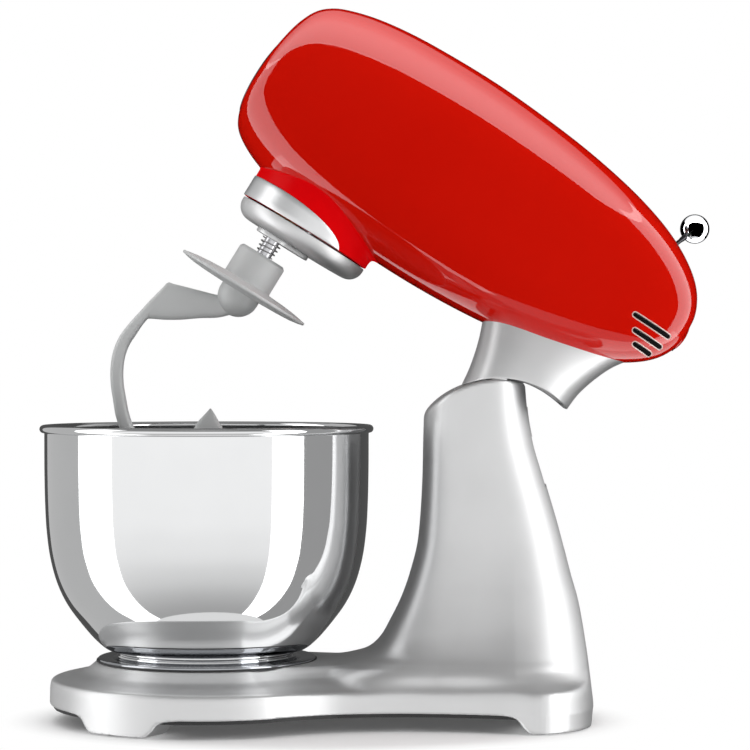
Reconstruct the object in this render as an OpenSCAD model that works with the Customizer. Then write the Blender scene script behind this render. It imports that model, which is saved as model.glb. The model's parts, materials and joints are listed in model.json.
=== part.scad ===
// Tilt-head stand mixer, shown with its head raised.
// +X runs to the rear, +Z up. The origin is under the middle of the mixer, on the table.
// Everything on the head is laid out with the head closed, and head_pose() then raises it.

/* [Bowl] */
// Diameter of the bowl over its rolled rim
bowl_d = 223; // [217:1:229]
// Height of the bowl above its seat
bowl_h = 155; // [148:1:162]
// Sheet thickness of the bowl
bowl_t = 1.1; // [0.9:0.1:1.4]

/* [Stand] */
// Distance from the bowl axis back to the head's hinge axis
reach = 193.5; // [190:0.5:197]
// Radius of the base's round front about the bowl axis
base_r = 105; // [102:1:108]
// Half-width of the base at its waist
waist_w = 67; // [64:1:70]
// Radius of the column's round top about the hinge axis
column_r = 62.5; // [61.5:0.1:63]
// Half-width of the column at its top
column_w = 42; // [40:1:44]
// Wall thickness of the stand casting
stand_t = 4.5; // [4:0.1:5]

/* [Head] */
// Angle by which the head is raised
tilt = 31.6; // [28:0.1:32]
// Height of the head's body
head_h = 145; // [142:1:149]
// Width of the head's body
head_w = 131; // [127:1:136]
// Wall thickness of the head's shell
shell_t = 3; // [2.6:0.1:3.4]
// Gap between the bowl's rim and the planetary's lowest plate when the head is closed
rim_gap = 22; // [20:1:25]

/* [Planetary drive] */
// Module of the planetary gears
planet_m = 1.6667; // [1.6:0.0333:1.7]
// Module of the crown gear and its pinion
crown_m = 2; // [1.9:0.05:2.05]
// Direction of the tool axis from the planetary axis
tool_dir = 223.6; // [214:0.2:234]

/* [Motor] */
// Radius of the motor's field stack
stator_r = 38; // [35:1:40]
// Radius of the motor's armature stack
armature_r = 22; // [20:1:24]
// Length of both stacks
stack_l = 50; // [44:1:54]

/* [Hook] */
// Radius of the hook's drip shield
shield_r = 47; // [44:1:48]
// Thickness of the hook's wire
hook_wire = 8.8; // [8:0.2:9.6]

/* [Hidden] */

// Teeth of the ring gear, the tool's pinion, the crown gear and the motor's pinion
ring_n = 36;
planet_n = 12;
crown_n = 40;
pinion_n = 10;

// Places that everything else hangs on
hinge_x = 81;
bowl_x = hinge_x - reach;
seat_z = 42;
plate_z = seat_z + bowl_h + rim_gap;
hinge_z = plate_z - 54;
head_mid_z = plate_z + 94;
motor_z = plate_z + 93;
eps = 0.02;

// Planetary set: the pinion runs inside the fixed ring
planet_e = planet_m * (ring_n - planet_n) / 2;
tool_x = bowl_x + planet_e * cos(tool_dir);
tool_y = planet_e * sin(tool_dir);
collar_r = 47.5;
disc_r = 47;
disc_z = plate_z + 3.2;
disc_t = 12;
gear_z = plate_z + 19.4;

// Crown set: the motor's pinion lies across the top of the crown gear
crown_r = crown_m * crown_n / 2;
pinion_r = crown_m * pinion_n / 2;
crown_pitch_z = motor_z - pinion_r;
drive_r = 6;
motor_x = hinge_x - 85;
motor_rear_x = motor_x + 72;

// Hook
hub_z = plate_z - 12;
hub_r = 17;
hub_h = 25;
tool_shaft_r = 5;
run = 0.05;

// Lever: it swings about an axis along the head
lever_x = hinge_x + 2;
lever_z = plate_z + 81;
lever_swing = 23;
knob_h = 84;
knob_r = 10;
lever_lean = 28.5;

// ---------------------------------------------------------------- helpers

module head_pose() {
    translate([hinge_x, 0, hinge_z])
        rotate([0, tilt, 0])
            translate([-hinge_x, 0, -hinge_z])
                children();
}

module along_x(x, y, z) {
    translate([x, y, z]) rotate([0, 90, 0]) children();
}

module along_y(x, y, z) {
    translate([x, y, z]) rotate([-90, 0, 0]) children();
}

module tube(r_out, r_in, h) {
    difference() {
        cylinder(r = r_out, h = h, $fn = 96);
        translate([0, 0, -1]) cylinder(r = r_in, h = h + 2, $fn = 96);
    }
}

module box(x0, x1, y0, y1, z0, z1) {
    translate([x0, y0, z0]) cube([x1 - x0, y1 - y0, z1 - z0]);
}

// Signed power, used for rounded-square outlines
function spow(v, p) = sign(v) * pow(abs(v), p);

// One ring of points: a rounded oblong with half-sizes a and b about (u, v)
function oblong(u, v, a, b, n, k) =
    [for (i = [0:k - 1]) let (t = 360 * i / k)
        [u + a * spow(cos(t), 2 / n), v + b * spow(sin(t), 2 / n)]];

// Solid between two rings that face each other, rounded outwards
module skin_step(ring_a, ring_b) {
    k = len(ring_a);
    hull()
        polyhedron(
            points = concat(ring_a, ring_b),
            faces = concat(
                [[for (i = [0:k - 1]) i]],
                [[for (i = [0:k - 1]) 2 * k - 1 - i]],
                [for (i = [0:k - 1]) [(i + 1) % k, i, k + i, k + (i + 1) % k]]
            )
        );
}

module skin(rings) {
    for (i = [0:len(rings) - 2]) skin_step(rings[i], rings[i + 1]);
}

// Involute gear outline; play thins each tooth by that much
function involute(angle) = tan(angle) * 180 / PI - angle;
function flank(rb, r) = r <= rb ? 0 : involute(acos(rb / r));
function gear_outline(m, n, add, ded, play) =
    let (
        rp = m * n / 2,
        rb = rp * cos(20),
        ra = rp + add * m,
        rr = rp - ded * m,
        half = 90 / n - play / rp * 90 / PI,
        base = half + flank(rb, rp),
        radii = [for (i = [0:4]) rr + (ra - rr) * i / 4]
    )
    [for (t = [0:n - 1]) each concat(
        [for (i = [0:4]) let (a = 360 * t / n - base + flank(rb, radii[i]))
            radii[i] * [cos(a), sin(a)]],
        [for (i = [4:-1:0]) let (a = 360 * t / n + base - flank(rb, radii[i]))
            radii[i] * [cos(a), sin(a)]]
    )];

// ---------------------------------------------------------------- stand

// Side of the base, as distance back from the bowl axis and half-width
waist_curve = [
    [0.285, waist_w + 21], [0.375, waist_w + 11.5], [0.46, waist_w + 5], [0.57, waist_w + 1],
    [0.68, waist_w], [0.79, waist_w + 1.7], [0.91, waist_w + 5.5], [1.02, waist_w + 11]
];
rear_r = 60;
rear_w = waist_w + 18;
rear_x = hinge_x + 64;
base_side = concat(
    [for (a = [180:-9:63]) [bowl_x + base_r * cos(a), base_r * sin(a)]],
    [for (p = waist_curve) [bowl_x + p[0] * reach, p[1]]],
    [for (a = [78, 62, 46, 30, 14, 4])
        [rear_x - rear_r + rear_r * pow(cos(a), 2 / 3), rear_w * pow(sin(a), 2 / 3)]]
);
side_n = len(base_side);
base_outline = concat(
    base_side,
    [for (i = [side_n - 1:-1:1]) [base_side[i][0], -base_side[i][1]]]
);

function unit(v) = v / norm(v);

// The base outline drawn in by d all round
function inset_outline(d) =
    let (n = len(base_outline))
    [for (i = [0:n - 1])
        let (
            t = unit(base_outline[(i + 1) % n] - base_outline[(i + n - 1) % n])
        )
        base_outline[i] - d * [-t[1], t[0]]];

rim_lo = 11.8;
rim_hi = 26.5;
deck_z = 40.2;
// Height and inset of the base's outer surface, from the underside to the deck
deck_curve = [
    [rim_lo, 2], [rim_lo + 2, 0], [rim_hi, 0], [28.2, 2], [29.4, 6], [31, 13.5],
    [32.9, 22], [35.8, 26.5], [39, 30], [deck_z, 32.3]
];

module base_block(rows) {
    k = len(base_outline);
    m = len(rows);
    points = [for (row = rows) each [for (p = inset_outline(row[1])) [p[0], p[1], row[0]]]];
    polyhedron(
        points = points,
        faces = concat(
            [[for (i = [k - 1:-1:0]) i]],
            [[for (i = [0:k - 1]) (m - 1) * k + i]],
            [for (r = [0:m - 2]) each [for (i = [0:k - 1]) each [
                [r * k + i, (r + 1) * k + (i + 1) % k, (r + 1) * k + i],
                [r * k + i, r * k + (i + 1) % k, (r + 1) * k + (i + 1) % k]
            ]]]
        )
    );
}

// Column: height as a share of the hinge height, front and rear from the hinge, half-width gain
column_rows = [
    [0.165, -121, 63.8, 24.6], [0.18, -120, 63.5, 23.6], [0.20, -118, 63.2, 21.8],
    [0.23, -111, 62.6, 19.2], [0.25, -100, 62.2, 17.2], [0.28, -87, 61.4, 14.4],
    [0.327, -78, 59.8, 11.5], [0.40, -70.9, 57.5, 8.5],
    [0.50, -62.9, 54, 5.5], [0.594, -57.5, 49.6, 3.3], [0.727, -52.2, 44, 1.5],
    [0.861, -50.2, 37.8, 0.5], [1.0, -49.1, 30.8, 0], [1.121, -48.7, 24.9, 0],
    [1.242, -48, 21.2, 0], [1.40, -48, 19, 0]
];

module column_block(inset) {
    skin([for (row = column_rows)
        let (
            mid = hinge_x + (row[1] + row[2]) / 2,
            half = (row[2] - row[1]) / 2 - inset
        )
        [for (p = oblong(mid, 0, half, column_w + row[3] - inset, 3, 28))
            [p[0], p[1], row[0] * hinge_z]]
    ]);
}

// Keeps what lies under the column's round top
module under_arc(r) {
    intersection() {
        children();
        union() {
            along_y(hinge_x, -100, hinge_z) cylinder(r = r, h = 200, $fn = 128);
            box(bowl_x - 150, rear_x + 50, -120, 120, 0, hinge_z + 0.5 * column_r);
        }
    }
}

arm_slot_w = 19;
slot_front = -115.4;
slot_rear = -67.4;
cheek_w = 26;

// Wedge that the hinge arm sweeps, from the closed position to the raised one
module arm_sweep(w) {
    along_y(hinge_x, -w, hinge_z)
        linear_extrude(2 * w)
            polygon(concat(
                [[0, 12]],
                [for (a = [slot_front:6:slot_rear]) 84 * [cos(a), sin(a)]]
            ));
}

// Feet: centre and radius of each, flush with the outline
front_foot = [bowl_x - 53, base_r - 28, 20];
rear_foot = [rear_x - 23.5, rear_w - 21, 22.5];
foot_spots = [
    for (f = [front_foot, rear_foot]) for (s = [-1, 1]) [f[0], s * f[1], f[2]]
];
// Pads sit a little inboard of the feet's middles
pad_spots = [
    for (s = [-1, 1]) each [
        [bowl_x - 50.6, s * (base_r - 31.5)],
        [rear_x - 30, s * (rear_w - 26)]
    ]
];
foot_lo = 0.8;
foot_h = 16;
foot_flare = 9;
pad_r = 11;
pad_h = 3.2;

module foot_stubs() {
    difference() {
        intersection() {
            union() {
                for (p = foot_spots)
                    translate([p[0], p[1], foot_lo])
                        cylinder(r1 = p[2], r2 = p[2] + foot_flare, h = foot_h, $fn = 40);
            }
            translate([0, 0, foot_lo]) linear_extrude(foot_h - 1) polygon(inset_outline(2.6));
        }
        for (p = pad_spots)
            translate([p[0], p[1], 0]) cylinder(r = pad_r + 0.3, h = pad_h, $fn = 64);
    }
}

button_z = hinge_z - 45;
button_x = hinge_x + 32.8;
gland_y = 24;
gland_z = 19.2;

module stand_casting() {
    color([0.75, 0.76, 0.78])
        difference() {
            union() {
                difference() {
                    union() {
                        base_block(deck_curve);
                        under_arc(column_r) column_block(0);
                    }
                    base_block([
                        for (i = [0:len(deck_curve) - 1])
                            let (row = deck_curve[i])
                            [i == 0 ? rim_lo - 1 : (i == 1 ? row[0] : row[0] - stand_t), row[1] + stand_t]
                    ]);
                    under_arc(column_r - stand_t) column_block(stand_t);
                    translate([0, 0, -1]) linear_extrude(rim_lo + 4) polygon(inset_outline(7));
                }
                foot_stubs();
                // cheeks on each side of the hinge arm
                under_arc(column_r - 1) intersection() {
                    column_block(1);
                    for (s = [-1, 1])
                        box(hinge_x - 60, hinge_x + 60,
                            s > 0 ? arm_slot_w : -cheek_w, s > 0 ? cheek_w : -arm_slot_w,
                            hinge_z - 60, hinge_z + column_r + 1);
                }
            }
            arm_sweep(arm_slot_w);
            // hinge, roller, button and cable holes
            along_y(hinge_x, -cheek_w - 5, hinge_z) cylinder(r = 10.1, h = 2 * cheek_w + 10, $fn = 64);
            for (p = roller_spots)
                along_y(p[0], -arm_slot_w - 3, p[1])
                    cylinder(r = roller_r + 0.08, h = 2 * arm_slot_w + 6, $fn = 48);
            along_x(button_x - 14, 0, button_z) cylinder(r = 14.1, h = 40, $fn = 64);
            along_x(rear_x - 20, gland_y, gland_z) cylinder(r = 3.6, h = 30, $fn = 48);
            for (p = pad_spots)
                translate([p[0], p[1], 0]) cylinder(r = 3.1, h = 12, $fn = 32);
        }
}

module base_cover() {
    color([0.2, 0.2, 0.21])
        difference() {
            translate([0, 0, rim_lo - cover_t]) linear_extrude(cover_t) polygon(inset_outline(3));
            for (p = foot_spots)
                translate([p[0], p[1], 0]) cylinder(r = p[2] + foot_flare + 1, h = 30, $fn = 64);
            for (p = cover_spots)
                translate([p[0], p[1], 0]) {
                    cylinder(r = 2, h = 30, $fn = 32);
                    cylinder(r = 4, h = rim_lo - cover_t + 1.3, $fn = 32);
                }
        }
}

cover_t = 2.4;
cover_spots = [
    for (s = [-1, 1]) [bowl_x + 12, s * (base_r - 8)],
    for (s = [-1, 1]) [hinge_x - 62, s * (waist_w - 8)]
];

module cover_screws() {
    color([0.55, 0.55, 0.57])
        for (p = cover_spots)
            translate([p[0], p[1], 0]) {
                translate([0, 0, rim_lo - cover_t]) cylinder(r = 3.9, h = 1.3, $fn = 32);
                translate([0, 0, rim_lo - cover_t + 1.3]) cylinder(r = 2, h = cover_t - 1.3, $fn = 32);
            }
}

module rubber_feet() {
    color([0.12, 0.12, 0.12])
        for (p = pad_spots)
            translate([p[0], p[1], 0]) {
                cylinder(r = pad_r, h = pad_h, $fn = 64);
                translate([0, 0, pad_h]) cylinder(r = 3, h = 6, $fn = 32);
            }
}

seat_r = base_r - 32.3;
foot_r = 59.6;

module seat_ring() {
    color([0.35, 0.36, 0.38])
        translate([bowl_x, 0, 0]) {
            translate([0, 0, deck_z]) cylinder(r = seat_r, h = seat_z - deck_z, $fn = 128);
            translate([0, 0, seat_z]) tube(foot_r - 5.6, foot_r - 10, 4.4);
            for (a = [0:120:240])
                rotate(a)
                    intersection() {
                        translate([0, 0, seat_z + 2.4]) tube(foot_r - 4.2, foot_r - 8, 2);
                        box(0, foot_r, -9, 9, 0, seat_z + 10);
                    }
        }
}

module cable_gland() {
    color([0.12, 0.12, 0.12])
        along_x(rear_x - 11.6, gland_y, gland_z) {
            tube(3.5, 2.3, 11.7);
            translate([0, 0, 11.65]) tube(5.5, 2.3, 3.2);
            tube(4.6, 2.3, 2);
        }
}

// ---------------------------------------------------------------- hinge and latch

pin_r = 8;
roller_r = 6;
tail_w = 7;
roller_gap = 0.45;
roller_reach = 28;
// The arm's tail points straight down when closed and swings forward as the head is raised
roller_off = tail_w + roller_r + roller_gap;
roller_spots = [
    [hinge_x + roller_off, hinge_z - roller_reach],
    [hinge_x - roller_reach * sin(tilt) - roller_off * cos(tilt),
     hinge_z - roller_reach * cos(tilt) + roller_off * sin(tilt)]
];

module hinge_pin() {
    color([0.6, 0.6, 0.62])
        along_y(hinge_x, -cheek_w - 2, hinge_z) {
            cylinder(r = pin_r, h = 2 * cheek_w + 4, $fn = 64);
            cylinder(r = pin_r + 3, h = 2, $fn = 64);
            translate([0, 0, 2 * cheek_w + 2]) cylinder(r = pin_r + 3, h = 2, $fn = 64);
        }
}

module pin_bushes() {
    color([0.7, 0.55, 0.3])
        for (s = [-1, 1])
            along_y(hinge_x, s > 0 ? arm_slot_w : -cheek_w, hinge_z)
                tube(10, pin_r, cheek_w - arm_slot_w);
}

module stop_rollers() {
    color([0.15, 0.15, 0.15])
        for (p = roller_spots)
            along_y(p[0], -arm_slot_w - 2.9, p[1])
                cylinder(r = roller_r, h = 2 * arm_slot_w + 5.8, $fn = 64);
}

module button_bezel() {
    color([0.75, 0.76, 0.78])
        along_x(button_x - 13, 0, button_z) {
            tube(14, 11.1, 18);
            tube(14, 4.1, 1.5);
        }
}

module release_button() {
    color([0.8, 0.8, 0.82])
        along_x(button_x - 3, 0, button_z) {
            cylinder(r = 11, h = 9, $fn = 96);
            translate([0, 0, 9]) cylinder(r1 = 11, r2 = 9.5, h = 1.5, $fn = 96);
        }
}

module button_rod() {
    color([0.6, 0.6, 0.62]) {
        along_x(hinge_x + 14, 0, button_z) cylinder(r = 4, h = button_x - 17 - hinge_x, $fn = 48);
        box(hinge_x + 6, hinge_x + 14, -8, 8, button_z - 5, button_z + 5);
    }
}

module button_spring() {
    color([0.5, 0.5, 0.52])
        for (i = [0:3])
            along_x(button_x - 10.8 + 2.0 * i, 0, button_z)
                rotate_extrude($fn = 64) translate([6.2, 0]) circle(r = 0.7, $fn = 24);
}

// Side of the arm from the hub to the flange: it leaves the column through a short slot,
// so it is thin where it crosses the column's round top
arm_outline = [
    [-14, 0], [-18, -20], [-21, -40], [-25.3, -57], [-29, -66], [-36, -86],
    [10, -86], [-13.5, -66], [-16.7, -59.6], [-10.8, -46], [-3.4, -33], [10, -20], [14, 0]
];

// Hub on the pin, upright to the head and tail between the rollers
module hinge_arm() {
    arm_w = arm_slot_w - 1.2;
    color([0.68, 0.69, 0.71])
        head_pose()
            difference() {
                union() {
                    along_y(hinge_x, -arm_w, hinge_z) cylinder(r = 17, h = 2 * arm_w, $fn = 96);
                    box(hinge_x - tail_w, hinge_x + tail_w, -arm_w, arm_w, hinge_z - 36, hinge_z);
                    along_y(hinge_x, -arm_w, hinge_z)
                        linear_extrude(2 * arm_w)
                            polygon(arm_outline);
                    box(hinge_x - flange_front, hinge_x + flange_rear, -flange_w, flange_w, flange_z, floor_z);
                }
                along_y(hinge_x, -arm_w - 1, hinge_z) cylinder(r = pin_r + 0.04, h = 2 * arm_w + 2, $fn = 64);
                for (p = arm_screw_spots)
                    translate([p[0], p[1], 0]) cylinder(r = 2.5, h = 400, $fn = 48);
            }
}

floor_z = hinge_z + 90;
flange_z = floor_z - 6;
floor_t = 5;
// Flange under the head's floor, with its screws in front of the arm and behind it
flange_front = 46;
flange_rear = 17;
flange_w = 19;
arm_screw_spots = [
    for (x = [hinge_x - flange_front + 5, hinge_x + flange_rear - 4]) for (y = [-11, 11]) [x, y]
];

module arm_screws() {
    color([0.55, 0.55, 0.57])
        head_pose()
            for (p = arm_screw_spots)
                translate([p[0], p[1], 0]) {
                    translate([0, 0, flange_z]) cylinder(r = 2.5, h = 10.5, $fn = 48);
                    translate([0, 0, flange_z - 2.6]) cylinder(r = 3.6, h = 2.6, $fn = 48);
                }
}

// ---------------------------------------------------------------- bowl

rim_z = seat_z + bowl_h;
wall_r = bowl_d / 2 - 3.2;
// Outer outline of the bowl below its rim, as radius and height share
bowl_curve = [
    [0.606, 0.034], [0.68, 0.076], [0.779, 0.154], [0.864, 0.234], [0.921, 0.325],
    [0.963, 0.433], [0.985, 0.55], [0.994, 0.66], [0.999, 0.81], [1, 0.965]
];

module bowl_shell() {
    outer = [for (p = bowl_curve) [wall_r * p[0], seat_z + bowl_h * p[1]]];
    inner = [for (i = [len(outer) - 1:-1:0]) [outer[i][0] - bowl_t, outer[i][1] + bowl_t * (1 - i / 12)]];
    floor_r = foot_r - 3.6;
    color([0.8, 0.81, 0.83])
        translate([bowl_x, 0, 0]) {
            rotate_extrude($fn = 128)
                polygon(concat(
                    [[0, seat_z + 5.4], [floor_r, seat_z + 5.4], [floor_r, seat_z + 5], [foot_r, seat_z + 5]],
                    outer,
                    [[wall_r, rim_z - 4], [wall_r - bowl_t, rim_z - 4]],
                    inner,
                    [[0, seat_z + 5.4 + bowl_t]]
                ));
            // rolled rim
            translate([0, 0, rim_z - 2.6])
                rotate_extrude($fn = 128)
                    translate([bowl_d / 2 - 2.6, 0]) circle(r = 2.6, $fn = 32);
        }
}

module bowl_foot() {
    color([0.8, 0.81, 0.83])
        translate([bowl_x, 0, seat_z]) {
            tube(foot_r, foot_r - 3.4, 5);
            translate([0, 0, 0.6]) tube(foot_r + 0.6, foot_r - 1, 1.2);
            for (a = [60:120:300])
                rotate(a)
                    intersection() {
                        translate([0, 0, 0.4]) tube(foot_r - 3, foot_r - 5.2, 1.6);
                        box(0, foot_r, -9, 9, 0, 10);
                    }
        }
}

// ---------------------------------------------------------------- head

// Length share from the front, underside and top from mid-height, half-width share
head_rows = [
    [0.004, -0.205, 0.225, 0.50], [0.010, -0.250, 0.285, 0.62], [0.022, -0.295, 0.350, 0.73],
    [0.043, -0.331, 0.395, 0.81], [0.078, -0.381, 0.435, 0.87], [0.132, -0.436, 0.472, 0.935],
    [0.206, -0.467, 0.501, 0.98], [0.296, -0.480, 0.515, 1.0], [0.400, -0.483, 0.515, 1.0],
    [0.520, -0.481, 0.501, 0.98], [0.639, -0.461, 0.472, 0.935], [0.743, -0.428, 0.428, 0.87],
    [0.833, -0.372, 0.370, 0.775], [0.893, -0.324, 0.313, 0.67], [0.937, -0.264, 0.248, 0.555],
    [0.971, -0.190, 0.165, 0.41], [0.985, -0.150, 0.115, 0.31], [0.992, -0.110, 0.062, 0.22]
];
head_front = bowl_x - 81.8;
head_len = reach + 141.8;
head_face = head_front + head_len * head_rows[0][0];
head_end = head_front + head_len * head_rows[17][0];

module head_skin(grow) {
    last = len(head_rows) - 1;
    skin([for (i = [0:last])
        let (
            row = head_rows[i],
            end_push = i == 0 ? -grow : (i == last ? grow : 0),
            zm = head_mid_z + 2 + head_h * (row[1] + row[2]) / 2,
            zh = head_h * (row[2] - row[1]) / 2 + grow,
            yh = row[3] * head_w / 2 + grow
        )
        [for (p = oblong(0, zm, yh, zh, 2.5, 36))
            [head_front + row[0] * head_len + end_push, p[0], p[1]]]
    ]);
}

// Length of the bright band's falling edge, and its height at the front
band_reach = 57;
band_rise = 13.8;

// Region of the bright band at the front of the collar; its top edge falls away to the rear
module band_zone(grow) {
    band_lo = plate_z + 16.8;
    along = band_reach + grow;
    rise = band_rise + grow;
    along_y(bowl_x - 30, -80, band_lo)
        linear_extrude(160)
            polygon(concat(
                [for (t = [-90:6:0]) [along * cos(t), rise * sin(t)]],
                [[along, 3], [-60, 3], [-60, -rise]]
            ));
}

vents = [[18.5, 49.2, 81.6], [24, 48.5, 73.1], [29.2, 45.3, 65.8]];

module head_shell() {
    color([0.85, 0.08, 0.06])
        head_pose()
            difference() {
                union() {
                    head_skin(0);
                    translate([bowl_x, 0, plate_z + 16.8]) cylinder(r = collar_r, h = 34, $fn = 72);
                }
                difference() {
                    head_skin(-shell_t);
                    // the collar keeps its wall inside the nose
                    difference() {
                        translate([bowl_x, 0, 0]) cylinder(r = collar_r, h = plate_z + 30, $fn = 72);
                        translate([bowl_x, 0, -1]) cylinder(r = collar_r - shell_t, h = plate_z + 40, $fn = 72);
                    }
                }
                translate([bowl_x, 0, 0]) cylinder(r = collar_r - shell_t, h = plate_z + 50, $fn = 72);
                band_zone(0.25);
                // opening over the neck
                box(hinge_x - flange_front - 3.5, hinge_x + flange_rear + 1.6,
                    -flange_w - 0.6, flange_w + 0.6, plate_z, plate_z + 56);
                for (v = vents)
                    box(hinge_x + v[0], hinge_x + v[1], -head_w, head_w,
                        plate_z + v[2] - 1.8, plate_z + v[2] + 1.8);
                // lever slot
                box(lever_x + 16.8, lever_x + 23.2, -29, 29, lever_z + 40, lever_z + 100);
                along_x(head_end - 20, 0, cap_z) cylinder(r = 5.1, h = 30, $fn = 40);
            }
}

module front_plate() {
    color([0.3, 0.3, 0.32])
        head_pose()
            translate([head_face - 1.2, 0, 0])
                rotate([90, 0, 90])
                    linear_extrude(1.2 - eps)
                        polygon(oblong(0, head_mid_z + 3.4, 0.47 * head_w / 2, 0.2 * head_h, 2.5, 40));
}

cap_z = head_mid_z + 2 - 0.024 * head_h;

module rear_cap() {
    color([0.85, 0.08, 0.06])
        head_pose()
            along_x(head_end, 0, cap_z) {
                cylinder(r = 11.6, h = 1.2, $fn = 64);
                translate([0, 0, 1.2]) cylinder(r1 = 11.6, r2 = 7, h = 1.4, $fn = 64);
                translate([0, 0, -6]) cylinder(r = 5, h = 6, $fn = 48);
            }
}

module trim_band() {
    color([0.8, 0.8, 0.82])
        head_pose()
            intersection() {
                translate([bowl_x, 0, plate_z + 16.8]) tube(collar_r + 0.4, collar_r - shell_t, 14);
                band_zone(0);
            }
}

module lever_plate() {
    color([0.15, 0.15, 0.15])
        head_pose()
            difference() {
                intersection() {
                    head_skin(0.7);
                    box(lever_x + 13, lever_x + 27, -33, 33, lever_z + 30, lever_z + 100);
                }
                head_skin(0.05);
                box(lever_x + 16.8, lever_x + 23.2, -29, 29, lever_z + 20, lever_z + 100);
            }
}

// Height over the hinge, front and rear from the hinge, half-width gain over the column
neck_rows = [
    [28, -49, 18.5, 0], [48, -51.3, 17.8, -1.2], [61, -53.9, 18, -3], [71, -56.7, 18.8, -5],
    [81, -60.4, 21.2, -7.4], [90, -64.2, 24.4, -9.4], [99, -68.6, 28.5, -11], [108, -73, 34.5, -12.2]
];

module neck_block(inset) {
    skin([for (row = neck_rows)
        [for (p = oblong(hinge_x + (row[1] + row[2]) / 2, 0,
                         (row[2] - row[1]) / 2 - inset, column_w + row[3] - inset, 3, 28))
            [p[0], p[1], hinge_z + row[0]]]
    ]);
}

module neck() {
    color([0.75, 0.76, 0.78])
        head_pose()
            difference() {
                neck_block(0);
                head_skin(0.12);
                difference() {
                    neck_block(4.5);
                    along_y(hinge_x, -60, hinge_z) cylinder(r = column_r + 6, h = 120, $fn = 96);
                }
                along_y(hinge_x, -60, hinge_z) cylinder(r = column_r + 0.8, h = 120, $fn = 128);
                // way through for the arm, as wide as its slot
                box(hinge_x - 43.5, hinge_x + 12.5, -arm_slot_w + 1, arm_slot_w - 1, hinge_z, hinge_z + 100);
                box(hinge_x - flange_front - 1, hinge_x + flange_rear + 1, -flange_w - 0.6, flange_w + 0.6,
                    hinge_z + 74, hinge_z + 110);
            }
}

// Floor and cup inside the head that carry the drive
cup_lo = plate_z + 18;
cup_hi = plate_z + 36;
housing_hi = plate_z + 64;

module head_frame() {
    color([0.62, 0.63, 0.65])
        head_pose()
            difference() {
                union() {
                    translate([bowl_x, 0, cup_lo]) cylinder(r = 44, h = cup_hi - cup_lo, $fn = 96);
                    translate([bowl_x, 0, cup_hi]) cylinder(r = 21, h = housing_hi - cup_hi, $fn = 96);
                    translate([bowl_x, 0, cup_hi]) cylinder(r = 36, h = floor_z + floor_t - cup_hi, $fn = 96);
                    box(bowl_x + 26, hinge_x - flange_front - 4, -24, 24, floor_z, floor_z + floor_t);
                    box(bowl_x + 26, hinge_x + flange_rear, -flange_w, flange_w, floor_z, floor_z + floor_t);
                }
                translate([bowl_x, 0, cup_lo - 1]) cylinder(r = 42, h = 13, $fn = 96);
                translate([bowl_x, 0, cup_lo]) cylinder(r = 9, h = 60, $fn = 96);
                for (z = [cup_hi, housing_hi - 10])
                    translate([bowl_x, 0, z]) cylinder(r = 16, h = 10, $fn = 96);
                translate([bowl_x, 0, cup_hi]) cylinder(r = 12, h = 28, $fn = 96);
                for (p = arm_screw_spots)
                    translate([p[0], p[1], 0]) cylinder(r = 2.5, h = 400, $fn = 48);
            }
}

module ring_gear() {
    color([0.7, 0.6, 0.4])
        head_pose()
            translate([bowl_x, 0, gear_z - 0.4])
                linear_extrude(11)
                    difference() {
                        circle(r = 42, $fn = 96);
                        rotate(tool_dir) polygon(gear_outline(planet_m, ring_n, 1.0, 0.7, -0.3));
                    }
}

module shaft_bearings() {
    color([0.55, 0.56, 0.6])
        head_pose()
            for (z = [cup_hi, housing_hi - 10])
                translate([bowl_x, 0, z]) tube(16, drive_r + run, 10);
}

// ---------------------------------------------------------------- motor

shaft_r = 5;
front_x = motor_x - stack_l / 2 - 20;
rear_frame_x = motor_x + stack_l / 2 + 19;

module motor_frame(x, t) {
    along_x(x, 0, motor_z)
        difference() {
            union() {
                cylinder(r = 24, h = t, $fn = 96);
                translate([-stator_r + 2, -8, 0]) cube([2 * stator_r - 4, 16, t]);
                translate([0, -20, 0]) cube([motor_z - floor_z - floor_t, 40, t]);
            }
            translate([0, 0, -1]) cylinder(r = 11, h = t + 2, $fn = 96);
            for (s = [-1, 1])
                translate([s * bolt_r, 0, -1]) cylinder(r = 2, h = t + 2, $fn = 40);
        }
}

bolt_r = stator_r - 5;

module front_frame() {
    color([0.62, 0.63, 0.65])
        head_pose() motor_frame(front_x, 8);
}

module rear_frame() {
    color([0.62, 0.63, 0.65])
        head_pose() motor_frame(rear_frame_x, 6);
}

module motor_bearings() {
    color([0.55, 0.56, 0.6])
        head_pose() {
            along_x(front_x, 0, motor_z) tube(11, shaft_r + run, 8);
            along_x(rear_frame_x, 0, motor_z) tube(11, shaft_r + run, 6);
        }
}

// Slots of the field coils, and the play that each coil has in its slot
coil_w = 24;
coil_t = 6;
coil_in = armature_r + 3;
coil_play = 0.1;

module motor_stator() {
    color([0.35, 0.36, 0.38])
        head_pose()
            along_x(motor_x - stack_l / 2, 0, motor_z)
                difference() {
                    cylinder(r = stator_r, h = stack_l, $fn = 128);
                    translate([0, 0, -1]) cylinder(r = armature_r + 1, h = stack_l + 2, $fn = 96);
                    for (s = [-1, 1]) {
                        translate([s * bolt_r, 0, -1]) cylinder(r = 2, h = stack_l + 2, $fn = 40);
                        translate([-coil_w / 2, s > 0 ? coil_in : -coil_in - coil_t, -1])
                            cube([coil_w, coil_t, stack_l + 2]);
                    }
                }
}

module field_coils() {
    color([0.7, 0.38, 0.2])
        head_pose()
            along_x(motor_x - stack_l / 2 - 2, 0, motor_z)
                for (s = [-1, 1])
                    translate([
                        coil_play - coil_w / 2,
                        s > 0 ? coil_in + coil_play : coil_play - coil_in - coil_t,
                        0
                    ])
                        cube([coil_w - 2 * coil_play, coil_t - 2 * coil_play, stack_l + 4]);
}

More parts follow.
